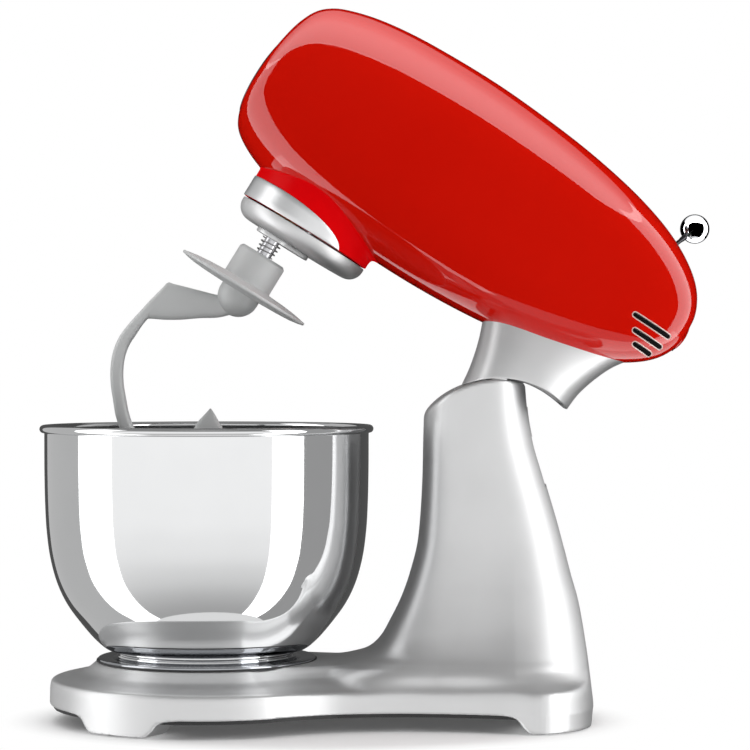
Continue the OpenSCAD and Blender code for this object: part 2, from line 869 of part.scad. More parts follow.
module motor_bolts() {
    color([0.55, 0.55, 0.57])
        head_pose()
            for (s = [-1, 1])
                along_x(front_x - 3, 0, motor_z) translate([s * bolt_r, 0, 0]) {
                    cylinder(r = 2, h = rear_frame_x + 6 - front_x + 3, $fn = 40);
                    cylinder(r = 3.6, h = 3, $fn = 6);
                }
}

brush_x = rear_frame_x - 11;

module brush_holders() {
    color([0.3, 0.22, 0.12])
        head_pose()
            for (s = [-1, 1])
                difference() {
                    box(brush_x - 5, rear_frame_x, s > 0 ? 14 : -33, s > 0 ? 33 : -14,
                        motor_z - 6, motor_z + 6);
                    box(brush_x - 3, brush_x + 3, s > 0 ? 13 : -29, s > 0 ? 29 : -13,
                        motor_z - 4, motor_z + 4);
                }
}

module carbon_brushes() {
    color([0.15, 0.15, 0.16])
        head_pose()
            for (s = [-1, 1])
                box(brush_x - 3, brush_x + 3, s > 0 ? 12.2 : -29, s > 0 ? 29 : -12.2,
                    motor_z - 4, motor_z + 4);
}

pinion_x = bowl_x + crown_r;

module motor_shaft() {
    color([0.6, 0.6, 0.62])
        head_pose()
            along_x(pinion_x - 5, 0, motor_z)
                cylinder(r = shaft_r, h = motor_rear_x + 4 - pinion_x, $fn = 64);
}

// Slots of the armature's windings
slot_d = 5;
slot_w = 2;

module armature() {
    color([0.4, 0.36, 0.32])
        head_pose()
            along_x(motor_x - stack_l / 2, 0, motor_z)
                difference() {
                    tube(armature_r, shaft_r, stack_l);
                    for (a = [0:30:330])
                        rotate(a)
                            translate([armature_r - slot_d, -slot_w / 2, -1])
                                cube([slot_d + 1, slot_w, stack_l + 2]);
                }
}

module commutator() {
    color([0.72, 0.42, 0.22])
        head_pose()
            along_x(brush_x - 7, 0, motor_z) tube(12, shaft_r, 14);
}

module cooling_fan() {
    color([0.85, 0.85, 0.83])
        head_pose()
            along_x(rear_frame_x + 8, 0, motor_z) {
                tube(11, shaft_r, 9);
                for (a = [0:40:320])
                    rotate(a) translate([10.5, -0.8, 0]) cube([17, 1.6, 9]);
                tube(29, 27, 2);
            }
}

module motor_pinion() {
    color([0.6, 0.6, 0.62])
        head_pose()
            along_x(pinion_x - 3.5, 0, motor_z)
                linear_extrude(7)
                    difference() {
                        rotate(pinion_phase) polygon(gear_outline(crown_m, pinion_n, 0.8, 1.05, 0.7));
                        circle(r = shaft_r, $fn = 64);
                    }
}

// The pinion has a gap facing down, where a crown tooth stands
pinion_phase = 180 / pinion_n;

// ---------------------------------------------------------------- planetary

module planetary_cover() {
    color([0.75, 0.76, 0.78])
        head_pose()
            difference() {
                translate([bowl_x, 0, disc_z])
                    rotate_extrude($fn = 128)
                        polygon(concat(
                            [[0, 0]],
                            [for (a = [-90:10:0]) [disc_r - 9 + 9 * cos(a), 9 + 9 * sin(a)]],
                            [[disc_r, disc_t], [0, disc_t]]
                        ));
                translate([tool_x, tool_y, disc_z - 1]) cylinder(r = 9, h = 40, $fn = 64);
                translate([bowl_x, 0, disc_z - 1]) cylinder(r = drive_r, h = 40, $fn = 64);
            }
}

module boss_plate() {
    color([0.8, 0.8, 0.82])
        head_pose()
            translate([0, 0, plate_z])
                linear_extrude(3.2)
                    difference() {
                        union() {
                            translate([bowl_x, 0]) circle(r = 11, $fn = 64);
                            translate([tool_x, tool_y]) circle(r = 13, $fn = 64);
                            translate([bowl_x, 0]) rotate(tool_dir)
                                polygon([[0, -10.4], [planet_e, -12.4], [planet_e, 12.4], [0, 10.4]]);
                        }
                        translate([tool_x, tool_y]) circle(r = 7, $fn = 64);
                    }
}

module drive_shaft() {
    color([0.6, 0.6, 0.62])
        head_pose()
            translate([bowl_x, 0, disc_z]) cylinder(r = drive_r, h = crown_pitch_z - 2 - disc_z, $fn = 64);
}

crown_w = 6;

module crown_gear() {
    add = 0.8 * crown_m;
    ded = 1.15 * crown_m;
    half = PI * crown_m / 4 - 0.35;
    slope = tan(20);
    color([0.7, 0.6, 0.4])
        head_pose()
            translate([bowl_x, 0, crown_pitch_z])
                union() {
                    translate([0, 0, -ded - 9]) tube(crown_r + crown_w / 2, drive_r, 9);
                    for (t = [0:crown_n - 1])
                        rotate(360 * t / crown_n)
                            translate([crown_r - crown_w / 2 + 0.1, 0, 0])
                                rotate([90, 0, 90])
                                    linear_extrude(crown_w - 0.2)
                                        polygon([
                                            [-half - ded * slope, -ded - 0.5], [half + ded * slope, -ded - 0.5],
                                            [half - add * slope, add], [-half + add * slope, add]
                                        ]);
                }
}

module tool_bush() {
    color([0.7, 0.55, 0.3])
        head_pose()
            translate([tool_x, tool_y, disc_z]) tube(9, 6 + run, disc_t + 3);
}

// ---------------------------------------------------------------- tool

module tool_shaft() {
    color([0.65, 0.65, 0.67])
        head_pose()
            translate([tool_x, tool_y, 0]) {
                translate([0, 0, disc_z]) cylinder(r = 6, h = gear_z + 10 - disc_z, $fn = 64);
                translate([0, 0, hub_z - hub_h]) cylinder(r = tool_shaft_r, h = disc_z - hub_z + hub_h, $fn = 64);
            }
}

module tool_pinion() {
    color([0.6, 0.6, 0.62])
        head_pose()
            translate([tool_x, tool_y, gear_z])
                linear_extrude(10)
                    difference() {
                        rotate(tool_dir) polygon(gear_outline(planet_m, planet_n, 0.7, 0.95, 0.3));
                        circle(r = 6, $fn = 64);
                    }
}

module cross_pin() {
    color([0.6, 0.6, 0.62])
        head_pose()
            along_y(tool_x, tool_y - 9.5, hub_z - 14)
                difference() {
                    cylinder(r = 2, h = 19, $fn = 40);
                    translate([0, 0, 9.5]) rotate([90, 0, 0]) cylinder(r = tool_shaft_r, h = 20, center = true);
                }
}

spring_turns = 5;
spring_lo = hub_z + 0.9;
spring_hi = plate_z - 0.9;

// Conical spring: wide under the planetary, narrow on the hook's hub
module tool_spring() {
    steps = spring_turns * 14;
    centres = [for (i = [0:steps]) let (f = i / steps, r = 6.4 + 2.6 * f, a = 360 * spring_turns * f)
        [r * cos(a), r * sin(a), spring_lo + (spring_hi - spring_lo) * f]];
    rings = [for (i = [0:steps]) let (a = 360 * spring_turns * i / steps)
        [for (k = [0:5]) centres[i]
            + 0.8 * [cos(60 * k) * cos(a), cos(60 * k) * sin(a), sin(60 * k)]]];
    color([0.35, 0.35, 0.36])
        head_pose()
            translate([tool_x, tool_y, 0])
                polyhedron(
                    points = [for (ring = rings) each ring],
                    faces = concat(
                        [[0, 1, 2, 3, 4, 5]],
                        [[for (k = [5:-1:0]) steps * 6 + k]],
                        [for (i = [0:steps - 1]) each [for (k = [0:5]) each [
                            [i * 6 + k, (i + 1) * 6 + k, (i + 1) * 6 + (k + 1) % 6],
                            [i * 6 + k, (i + 1) * 6 + (k + 1) % 6, i * 6 + (k + 1) % 6]
                        ]]]
                    )
                );
}

// ---------------------------------------------------------------- hook

module hook_hub() {
    color([0.68, 0.68, 0.68])
        head_pose()
            translate([tool_x, tool_y, hub_z - hub_h])
                difference() {
                    union() {
                        cylinder(r = hub_r, h = hub_h - 2, $fn = 96);
                        translate([0, 0, hub_h - 2]) cylinder(r1 = hub_r, r2 = hub_r - 2, h = 2, $fn = 96);
                        rotate_extrude($fn = 128)
                            polygon([
                                [0, -1.2], [14.3, -1.2], [14.3, -2.6], [shield_r - 0.5, -0.7],
                                [shield_r, 0], [shield_r - 0.5, 0.7], [hub_r - 1, 3], [0, 3]
                            ]);
                    }
                    cylinder(r = tool_shaft_r + run, h = hub_h + 1, $fn = 64);
                    // straight way in for the cross pin, then a pocket to one side
                    box(-2.2, 2.2, -10.2, 10.2, hub_h - 16.2, hub_h + 1);
                    for (s = [0, 180])
                        rotate(s)
                            intersection() {
                                translate([0, 0, hub_h - 16.2]) cylinder(r = 10.2, h = 4.4, $fn = 64);
                                box(0, 6, 4, 11, 0, hub_h);
                            }
                }
}

// Upper and lower point of each station and its radius, in the plane of the hook:
// first number away from the tool axis, second down from the hub's top
hook_rows = [
    [[-3, 33], [2, 38], 0.68], [[-14, 41.5], [-9, 51], 0.55], [[-28, 46.5], [-24, 60], 0.48],
    [[-40, 51.8], [-37, 68.5], 0.47], [[-44.2, 62], [-43.6, 76], 0.47], [[-47, 80], [-46.6, 83], 0.49],
    [[-49, 96.5], [-49, 96.5], 0.5], [[-47, 107.5], [-47, 107.5], 0.51],
    [[-41.5, 118], [-41.5, 118], 0.52], [[-34.5, 127.5], [-34.5, 127.5], 0.54],
    [[-26, 137], [-26, 137], 0.56], [[-18, 143.6], [-18, 143.6], 0.58],
    [[-7, 148.4], [-7, 148.4], 0.6], [[5, 148.8], [5, 148.8], 0.62], [[16, 143.5], [16, 143.5], 0.64],
    [[23.5, 134], [23.5, 134], 0.68], [[24.5, 124], [32, 121], 0.62], [[24, 108], [28, 112], 0.18]
];
hook_span = hub_z - (seat_z + 10);

module hook_station(row) {
    for (p = [row[0], row[1]])
        translate([p[0], 0, -p[1] * hook_span / 155]) sphere(r = row[2] * hook_wire, $fn = 14);
}

module dough_hook() {
    color([0.68, 0.68, 0.68])
        head_pose()
            translate([tool_x, tool_y, hub_z]) {
                difference() {
                    translate([0, 0, -hub_h - 6.6]) sphere(r = 14, $fn = 40);
                    translate([0, 0, -hub_h - 1.2]) cylinder(r = 30, h = 40);
                }
                difference() {
                    for (i = [0:len(hook_rows) - 2])
                        hull() {
                            hook_station(hook_rows[i]);
                            hook_station(hook_rows[i + 1]);
                        }
                    translate([0, 0, -hub_h - 1.2]) cylinder(r = 60, h = 40);
                }
            }
}

// ---------------------------------------------------------------- lever

module lever_pose() {
    translate([lever_x, 0, lever_z])
        rotate([-lever_swing, 0, 0])
            children();
}

module lever_hub() {
    color([0.2, 0.2, 0.21])
        head_pose() {
            along_x(lever_x - 6, 0, lever_z) cylinder(r = 9, h = 12, $fn = 64);
            along_x(lever_x + 6, 0, lever_z) cylinder(r = 4, h = 8, $fn = 48);
        }
}

module lever_stem() {
    long = norm([knob_h, lever_lean]);
    color([0.7, 0.7, 0.72])
        head_pose() lever_pose()
            difference() {
                rotate([0, atan2(lever_lean, knob_h), 0])
                    cylinder(r = 1.6, h = long - knob_r + 0.5, $fn = 40);
                rotate([0, 90, 0]) cylinder(r = 9, h = 30, center = true, $fn = 64);
                translate([lever_lean, 0, knob_h]) sphere(r = knob_r, $fn = 64);
            }
}

module lever_knob() {
    color([0.85, 0.85, 0.87])
        head_pose() lever_pose()
            translate([lever_lean, 0, knob_h]) sphere(r = knob_r, $fn = 64);
}

module board_bracket() {
    x = lever_x + 8;
    color([0.62, 0.63, 0.65])
        head_pose()
            difference() {
                union() {
                    box(x, x + 3, -18, 18, floor_z + floor_t, lever_z + 14);
                    box(x - 6, x + 3, -18, 18, floor_z + floor_t, floor_z + floor_t + 3);
                }
                along_x(x - 1, 0, lever_z) cylinder(r = 4 + run, h = 6, $fn = 64);
            }
}

// The board stays below the lever's stem, which leans back over it
board_t = 1.6;

module control_board() {
    x = lever_x + 11;
    color([0.1, 0.35, 0.2])
        head_pose()
            difference() {
                union() {
                    box(x, x + board_t, -26, 26, lever_z - 16, lever_z + 22);
                    box(x + board_t, x + 9, 8, 22, lever_z - 8, lever_z + 18);
                    box(x + board_t, x + 7, -22, -6, lever_z - 4, lever_z + 19);
                }
                along_x(x - 1, 0, lever_z) cylinder(r = 4.6, h = 4, $fn = 64);
            }
}

// ---------------------------------------------------------------- pieces

stand_casting();
base_cover();
cover_screws();
rubber_feet();
seat_ring();
cable_gland();
hinge_pin();
pin_bushes();
stop_rollers();
button_bezel();
release_button();
button_rod();
button_spring();
bowl_shell();
bowl_foot();
head_shell();
front_plate();
rear_cap();
trim_band();
lever_plate();
neck();
hinge_arm();
arm_screws();
head_frame();
ring_gear();
shaft_bearings();
front_frame();
rear_frame();
motor_bearings();
motor_stator();
field_coils();
motor_bolts();
brush_holders();
carbon_brushes();
board_bracket();
control_board();
planetary_cover();
boss_plate();
drive_shaft();
crown_gear();
tool_bush();
tool_shaft();
tool_pinion();
cross_pin();
tool_spring();
hook_hub();
dough_hook();
motor_shaft();
armature();
commutator();
cooling_fan();
motor_pinion();
lever_hub();
lever_stem();
lever_knob();
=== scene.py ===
import json
from math import acos, atan2, cos, hypot, pi, radians, sin, sqrt

import bmesh
import bpy
import numpy as np
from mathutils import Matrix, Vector

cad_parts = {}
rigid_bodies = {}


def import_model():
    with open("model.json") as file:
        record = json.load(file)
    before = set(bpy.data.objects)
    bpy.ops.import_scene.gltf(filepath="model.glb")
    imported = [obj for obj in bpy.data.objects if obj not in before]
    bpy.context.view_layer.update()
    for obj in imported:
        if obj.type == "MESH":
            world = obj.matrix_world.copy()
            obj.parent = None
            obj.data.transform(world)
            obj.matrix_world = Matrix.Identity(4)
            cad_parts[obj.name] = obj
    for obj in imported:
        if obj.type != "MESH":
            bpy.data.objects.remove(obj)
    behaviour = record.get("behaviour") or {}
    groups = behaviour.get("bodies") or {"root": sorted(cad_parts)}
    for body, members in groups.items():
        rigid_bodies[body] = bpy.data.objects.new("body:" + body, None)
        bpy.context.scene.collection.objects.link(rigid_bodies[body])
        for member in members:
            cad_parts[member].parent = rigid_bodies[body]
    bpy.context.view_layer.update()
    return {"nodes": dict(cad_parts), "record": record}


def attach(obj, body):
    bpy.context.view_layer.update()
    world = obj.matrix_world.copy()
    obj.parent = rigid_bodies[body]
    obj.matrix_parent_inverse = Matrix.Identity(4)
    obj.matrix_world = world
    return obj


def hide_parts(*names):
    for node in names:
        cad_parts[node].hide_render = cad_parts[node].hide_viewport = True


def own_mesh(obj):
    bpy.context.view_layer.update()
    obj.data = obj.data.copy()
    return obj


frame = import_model()

# ---- the mixer's main places, in millimetres

BOWL_X = -112.5
HINGE_X, HINGE_Z = 81.0, 165.0
TILT = radians(31.6)
PLATE_Z = 219.0
GLAND_Y, GLAND_Z = 24.0, 19.2
BUTTON_Z = 120.0
TOOL_X, TOOL_Y = -126.98, -13.79
HUB_Z = 207.0
SEAT_Z = 42.0
COLLAR_R = 47.5
GAP_Z = PLATE_Z + 16.2

# Bodies whose pieces are given as they stand; all others hang on the head and are given as it is closed
UPRIGHT = ("stand", "bowl")


# ---- camera

def add_camera():
    """Camera in front of the mixer's middle; the photograph is 750 pixels wide."""
    sensor, width, focal = 36, 750, 2628
    cam = bpy.data.objects.new("camera", bpy.data.cameras.new("camera"))
    bpy.context.collection.objects.link(cam)
    cam.location = (0.0, -1.761, 0.235)
    cam.rotation_euler = (radians(90), 0, 0)
    cam.data.sensor_width = sensor
    cam.data.lens = sensor * focal / width
    cam.data.shift_y = -7 / width
    cam.data.clip_end = 50
    bpy.context.scene.camera = cam


# ---- materials

def feed(tree, node, inputs):
    """Sets or links a node's inputs."""
    for key, value in inputs.items():
        if isinstance(value, bpy.types.NodeSocket):
            tree.links.new(value, node.inputs[key])
        else:
            node.inputs[key].default_value = value


def shade(tree, kind, inputs={}, output=0, **settings):
    """Adds a shader node and gives one of its outputs."""
    node = tree.nodes.new("ShaderNode" + kind)
    for key, value in settings.items():
        setattr(node, key, value)
    feed(tree, node, inputs)
    return node.outputs[output]


def noise(tree, scale, detail, rough=0.5, stretch=None):
    """Noise over the piece's own coordinates, in metres."""
    place = shade(tree, "TexCoord", output="Object")
    if stretch:
        place = shade(tree, "Mapping", {"Vector": place, "Scale": stretch})
    inputs = {"Vector": place, "Scale": scale, "Detail": detail, "Roughness": rough}
    return shade(tree, "TexNoise", inputs, "Fac")


def surface(name, low, high, metallic, rough, grain, grain_bump, coat=0.0, coat_rough=0.03, stretch=None,
            depth=0.00002, specular=0.5, patch=25, coat_ior=1.5):
    """A material with slow colour variation, uneven roughness and a fine grain in its bump."""
    lowest, highest = 0.3, 0.7
    mat = bpy.data.materials.new(name)
    mat.use_nodes = True
    tree = mat.node_tree
    colour = shade(tree, "ValToRGB", {"Fac": noise(tree, patch, 4)}, "Color")
    for stop, place, tone in zip(colour.node.color_ramp.elements, (lowest, highest), (low, high)):
        stop.position = place
        stop.color = (*tone, 1)
    fine = noise(tree, grain, 5, 0.65, stretch)
    roughness = shade(tree, "MapRange", {"Value": fine, "From Min": lowest, "From Max": highest,
                                         "To Min": rough[0], "To Max": rough[1]})
    inputs = {"Base Color": colour, "Metallic": metallic, "Roughness": roughness, "Coat Weight": coat,
              "Coat Roughness": coat_rough, "Coat IOR": coat_ior, "Specular IOR Level": specular}
    if grain_bump:
        inputs["Normal"] = shade(tree, "Bump", {"Height": fine, "Strength": grain_bump, "Distance": depth})
    feed(tree, tree.nodes["Principled BSDF"], inputs)
    return mat


# Two base colours, metallic, lowest and highest roughness, scale and bump of the grain, and the rest
FINISHES = {
    "red_enamel": ((0.74, 0.007, 0.002), (0.78, 0.009, 0.003), 0, (0.36, 0.42), 120, 0.02,
        dict(coat=1.0, coat_rough=0.012, depth=0.0001, specular=0.0, patch=8, coat_ior=1.42)),
    # the collar's enamel: the head's red with a thin soft coat and a brighter base, which is painted light
    "enamel_painted_bright": ((0.96, 0.001, 0.003), (0.98, 0.002, 0.005), 0, (0.42, 0.5), 120, 0.02,
        dict(coat=0.05, coat_rough=0.25, depth=0.0001, specular=0.0, patch=8, coat_ior=1.42)),
    "satin_aluminium": ((0.62, 0.622, 0.625), (0.65, 0.652, 0.655), 0.85, (0.41, 0.46), 2600, 0.1, {}),
    "chrome": ((0.8, 0.81, 0.83), (0.83, 0.84, 0.86), 1, (0.03, 0.06), 400, 0, {}),
    "dark_chrome": ((0.36, 0.37, 0.39), (0.4, 0.41, 0.43), 1, (0.04, 0.08), 500, 0, {}),
    # chrome drawn nearly black: painted dark reflection on the nose plate's rim and the lever's rod
    "chrome_painted_dark": ((0.05, 0.05, 0.055), (0.07, 0.07, 0.075), 1, (0.12, 0.18), 500, 0, {}),
    "polished_steel": ((0.67, 0.675, 0.68), (0.69, 0.695, 0.7), 1, (0.03, 0.055), 300, 0.02,
        dict(stretch=(1, 1, 12), depth=0.00001)),
    "grey_coating": ((0.6, 0.61, 0.61), (0.63, 0.64, 0.64), 0.1, (0.48, 0.56), 1800, 0.12,
        dict(depth=0.00003)),
    "brushed_steel": ((0.66, 0.665, 0.67), (0.7, 0.705, 0.71), 1, (0.34, 0.4), 700, 0.1,
        dict(stretch=(1, 1, 30), depth=0.00001)),
    # the bowl's inside: brushed steel, its base darkened as painted shade
    "bowl_inside_brushed_painted_shade": ((0.36, 0.365, 0.37), (0.42, 0.425, 0.43), 1, (0.26, 0.34), 700, 0.1,
        dict(stretch=(1, 1, 30))),
    # pale pink for the vents' rims: a painted highlight on their red rounded edges
    "painted_highlight_edge": ((0.8, 0.55, 0.5), (0.86, 0.62, 0.57), 0, (0.3, 0.4), 800, 0.05, dict(coat=0.5)),
    "black_plastic": ((0.014, 0.014, 0.015), (0.02, 0.02, 0.021), 0, (0.45, 0.6), 2500, 0.3,
        dict(depth=0.00004)),
    "rubber": ((0.012, 0.012, 0.012), (0.02, 0.02, 0.02), 0, (0.65, 0.8), 1800, 0.3, dict(depth=0.00005)),
    "machined_steel": ((0.5, 0.5, 0.52), (0.6, 0.6, 0.62), 1, (0.18, 0.32), 900, 0.2,
        dict(stretch=(1, 1, 8))),
    "spring_steel": ((0.34, 0.33, 0.33), (0.44, 0.43, 0.43), 1, (0.2, 0.35), 1500, 0.15, {}),
    "zinc_screws": ((0.55, 0.56, 0.58), (0.66, 0.67, 0.7), 1, (0.25, 0.4), 1200, 0.2, {}),
    "sintered_bronze": ((0.42, 0.27, 0.12), (0.52, 0.34, 0.15), 0.9, (0.4, 0.6), 2500, 0.4, {}),
    "cast_aluminium": ((0.5, 0.5, 0.51), (0.6, 0.6, 0.61), 0.9, (0.45, 0.65), 1500, 0.5, dict(depth=0.0001)),
    "laminated_steel": ((0.16, 0.16, 0.17), (0.26, 0.26, 0.27), 0.9, (0.3, 0.5), 1600, 0.6,
        dict(stretch=(30, 1, 1), depth=0.0001)),
    "copper": ((0.62, 0.22, 0.09), (0.75, 0.3, 0.13), 1, (0.2, 0.4), 1400, 0.5,
        dict(stretch=(1, 20, 20), depth=0.0001)),
    "brown_insulator": ((0.09, 0.04, 0.02), (0.14, 0.07, 0.03), 0, (0.4, 0.6), 1500, 0.3, {}),
    "carbon": ((0.012, 0.012, 0.013), (0.03, 0.03, 0.032), 0.2, (0.5, 0.75), 2500, 0.4, {}),
    "nylon": ((0.68, 0.68, 0.64), (0.76, 0.76, 0.72), 0, (0.35, 0.5), 1200, 0.2, {}),
    "circuit_board": ((0.006, 0.09, 0.03), (0.015, 0.15, 0.05), 0, (0.3, 0.5), 700, 0.3, dict(patch=300)),
}
MATERIALS = {name: surface(name, *row, **rest) for name, (*row, rest) in FINISHES.items()}


# ---- geometry helpers

def spline(xs, ys, x):
    """Smooth curve through the points that never overshoots (Fritsch-Carlson)."""
    xs, ys, x = (np.asarray(a, float) for a in (xs, ys, x))
    h, d = np.diff(xs), np.diff(ys) / np.diff(xs)
    m = np.zeros_like(ys)
    m[0], m[-1] = d[0], d[-1]
    same = d[:-1] * d[1:] > 0
    w1, w2 = 2 * h[1:] + h[:-1], h[1:] + 2 * h[:-1]
    with np.errstate(divide="ignore", invalid="ignore"):
        mean = (w1 + w2) / (w1 / d[:-1] + w2 / d[1:])
    m[1:-1] = np.where(same, mean, 0)
    x = np.clip(x, xs[0], xs[-1])
    i = np.clip(np.searchsorted(xs, x, side="right") - 1, 0, len(xs) - 2)
    t = (x - xs[i]) / h[i]
    return (ys[i] * (1 + 2 * t) * (1 - t) ** 2 + h[i] * m[i] * t * (1 - t) ** 2
            + ys[i + 1] * t * t * (3 - 2 * t) + h[i] * m[i + 1] * t * t * (t - 1))


def splines(table, x):
    """Smooth curves through a table's other columns over its first."""
    return [spline(table[:, 0], column, x) for column in table.T[1:]]


def between(t, t0, t1, a, b):
    return ((t1 - t) * a + (t - t0) * b) / (t1 - t0)


def through(points, n, closed=False):
    """n points on a smooth curve through the given ones, evenly spread along it."""
    p = np.asarray(points, float)
    if closed:
        p = np.vstack([p[-2:], p, p[:3]])
    else:
        p = np.vstack([2 * p[0] - p[1], p, 2 * p[-1] - p[-2]])
    out = []
    for a, b, c, d in zip(p[:-3], p[1:-2], p[2:-1], p[3:]):
        t0 = 0
        t1, t2, t3 = np.cumsum([np.linalg.norm(v - u) ** 0.5 for u, v in ((a, b), (b, c), (c, d))])
        t = np.linspace(t1, t2, 24, endpoint=False)[:, None]
        ab, bc, cd = between(t, t0, t1, a, b), between(t, t1, t2, b, c), between(t, t2, t3, c, d)
        out.append(between(t, t1, t2, between(t, t0, t2, ab, bc), between(t, t1, t3, bc, cd)))
    q = np.vstack([*out[1:-1], out[1][:1]] if closed else [*out, p[-2]])
    s = np.concatenate([[0], np.cumsum(np.linalg.norm(np.diff(q, axis=0), axis=1))])
    at = np.linspace(0, s[-1], n, endpoint=not closed)
    return np.stack([np.interp(at, s, column) for column in q.T], 1)


def around(n):
    """n angles spread evenly round a circle."""
    return np.linspace(0, 2 * pi, n, endpoint=False)


def raised(v):
    """Turns points of the closed head up about the hinge."""
    v = np.array(v, float)
    x, z = v[..., 0] - HINGE_X, v[..., 2] - HINGE_Z
    c, s = cos(TILT), sin(TILT)
    v[..., 0], v[..., 2] = HINGE_X + c * x + s * z, HINGE_Z - s * x + c * z
    return v


def loft(rings, wrap=False):
    """Points and faces of a skin through closed rings of equal length, capped unless it wraps round."""
    rings = np.asarray(rings, float)
    n, k = rings.shape[:2]
    faces = []
    for i in range(n if wrap else n - 1):
        a, b = i * k, (i + 1) % n * k
        faces += [(a + j, a + (j + 1) % k, b + (j + 1) % k, b + j) for j in range(k)]
    if not wrap:
        faces += [tuple(range(k - 1, -1, -1)), tuple(range((n - 1) * k, n * k))]
    return rings.reshape(-1, 3), faces


def merge(*parts):
    """Joins several (points, faces) into one."""
    verts, faces, base = [], [], 0
    for v, f in parts:
        verts.append(v)
        faces += [tuple(i + base for i in face) for face in f]
        base += len(v)
    return np.vstack(verts), faces


def revolve(profile, x=0.0, y=0.0, steps=160):
    """Turns a closed (radius, height) outline about an upright axis. A point on the axis closes the skin."""
    verts, index, faces = [], [], []
    for r, z in profile:
        start = len(verts)
        if r < 1e-6:
            index.append([start] * steps)
            verts.append((x, y, z))
        else:
            index.append(range(start, start + steps))
            verts += [(x + r * cos(t), y + r * sin(t), z) for t in around(steps)]
    for lo, hi in zip(index, index[1:] + index[:1]):
        for j in range(steps):
            k = (j + 1) % steps
            face = tuple(dict.fromkeys((lo[j], lo[k], hi[k], hi[j])))
            if len(face) > 2:
                faces.append(face)
    return np.array(verts), faces


def arc(cx, cy, r, a0, a1, n):
    """Points of a circle's arc as pairs, angles in degrees."""
    t = np.radians(np.linspace(a0, a1, n))
    return list(zip(cx + r * np.cos(t), cy + r * np.sin(t)))


def turned_x(profile, x, y, z, steps=96):
    """Turns an outline about an axis along X; its heights run along X from the place."""
    v, f = revolve(profile, steps=steps)
    return np.stack([x + v[:, 2], y + v[:, 1], z + v[:, 0]], 1), f


def wound(turns, steps, radius, growth, length, wire):
    """Round wire wound up an upright axis from the origin, its radius growing on the way."""
    f = np.arange(steps + 1)[:, None] / steps
    a = 2 * pi * turns * f
    out, up = np.hstack([np.cos(a), np.sin(a), 0 * a]), np.array([0, 0, 1])
    centre = (radius + growth * f) * out + length * f * up
    return loft(np.stack([centre + wire * (cos(b) * out + sin(b) * up) for b in around(10)], 1))


def at_angle(a, outline):
    """A (radius, height) outline set up at one angle round the bowl's axis."""
    return [(BOWL_X + r * cos(a), r * sin(a), z) for r, z in outline]


def lugs(angles, section):
    """Short lugs round the bowl's axis, 18 degrees wide."""
    return [loft([at_angle(a, section) for a in np.radians(np.linspace(middle - 9, middle + 9, 13))])
            for middle in angles]


def new_object(name, verts, faces, material):
    """An object in the scene, made of points in metres."""
    mesh = bpy.data.meshes.new(name)
    mesh.from_pydata(verts, [], faces)
    mesh.materials.append(material)
    obj = bpy.data.objects.new(name, mesh)
    bpy.context.collection.objects.link(obj)
    return obj


def solid(name, shape, body, look):
    """An object of a body's mesh in millimetres."""
    verts, faces = shape
    verts = np.asarray(verts, float) if body in UPRIGHT else raised(verts)
    return new_object(name, (verts / 1000).tolist(), faces, MATERIALS[look])


def piece(name, shape, body, slot, stands_for=(), sharp=40, look=None):
    """Makes an object of a body's mesh in millimetres and ties it to the frame."""
    obj = solid(name, shape, body, look or slot)
    obj.data.validate()
    return tie(obj, body, stands_for, sharp)


def tie(obj, body, stands_for=(), sharp=40):
    """Finishes an object's mesh and says what it rides on and what it replaces."""
    outward(obj.data)
    obj.data.shade_smooth()
    if sharp:
        obj.data.set_sharp_from_angle(angle=radians(sharp))
    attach(obj, body)
    if stands_for:
        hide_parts(*stands_for)
    return obj


def outward(mesh):
    """Joins points that coincide and turns all faces outward."""
    bm = bmesh.new()
    bm.from_mesh(mesh)
    bmesh.ops.remove_doubles(bm, verts=bm.verts, dist=1e-7)
    bmesh.ops.recalc_face_normals(bm, faces=bm.faces)
    bm.to_mesh(mesh)
    bm.free()


def cut(obj, cutters):
    """Cuts solids out of an object; the cut faces take the cutters' materials."""
    outward(obj.data)
    for cutter in cutters:
        outward(cutter.data)
        mod = obj.modifiers.new("cut", "BOOLEAN")
        mod.operation = "DIFFERENCE"
        mod.solver = "EXACT"
        mod.material_mode = "TRANSFER"
        mod.object = cutter
    dg = bpy.context.evaluated_depsgraph_get()
    mesh = bpy.data.meshes.new_from_object(obj.evaluated_get(dg))
    obj.modifiers.clear()
    obj.data = mesh
    for cutter in cutters:
        bpy.data.objects.remove(cutter)


def prism(outline, axis, lo, hi):
    """A flat outline pushed along one axis; the outline gives the other two coordinates in order."""
    return loft([np.insert(np.asarray(outline, float), axis, end, axis=1) for end in (lo, hi)])


def smin(a, b, k):
    h = np.maximum(k - np.abs(a - b), 0) / k
    return np.minimum(a, b) - h * h * k / 4


def smax(a, b, k):
    return -smin(-a, -b, k)


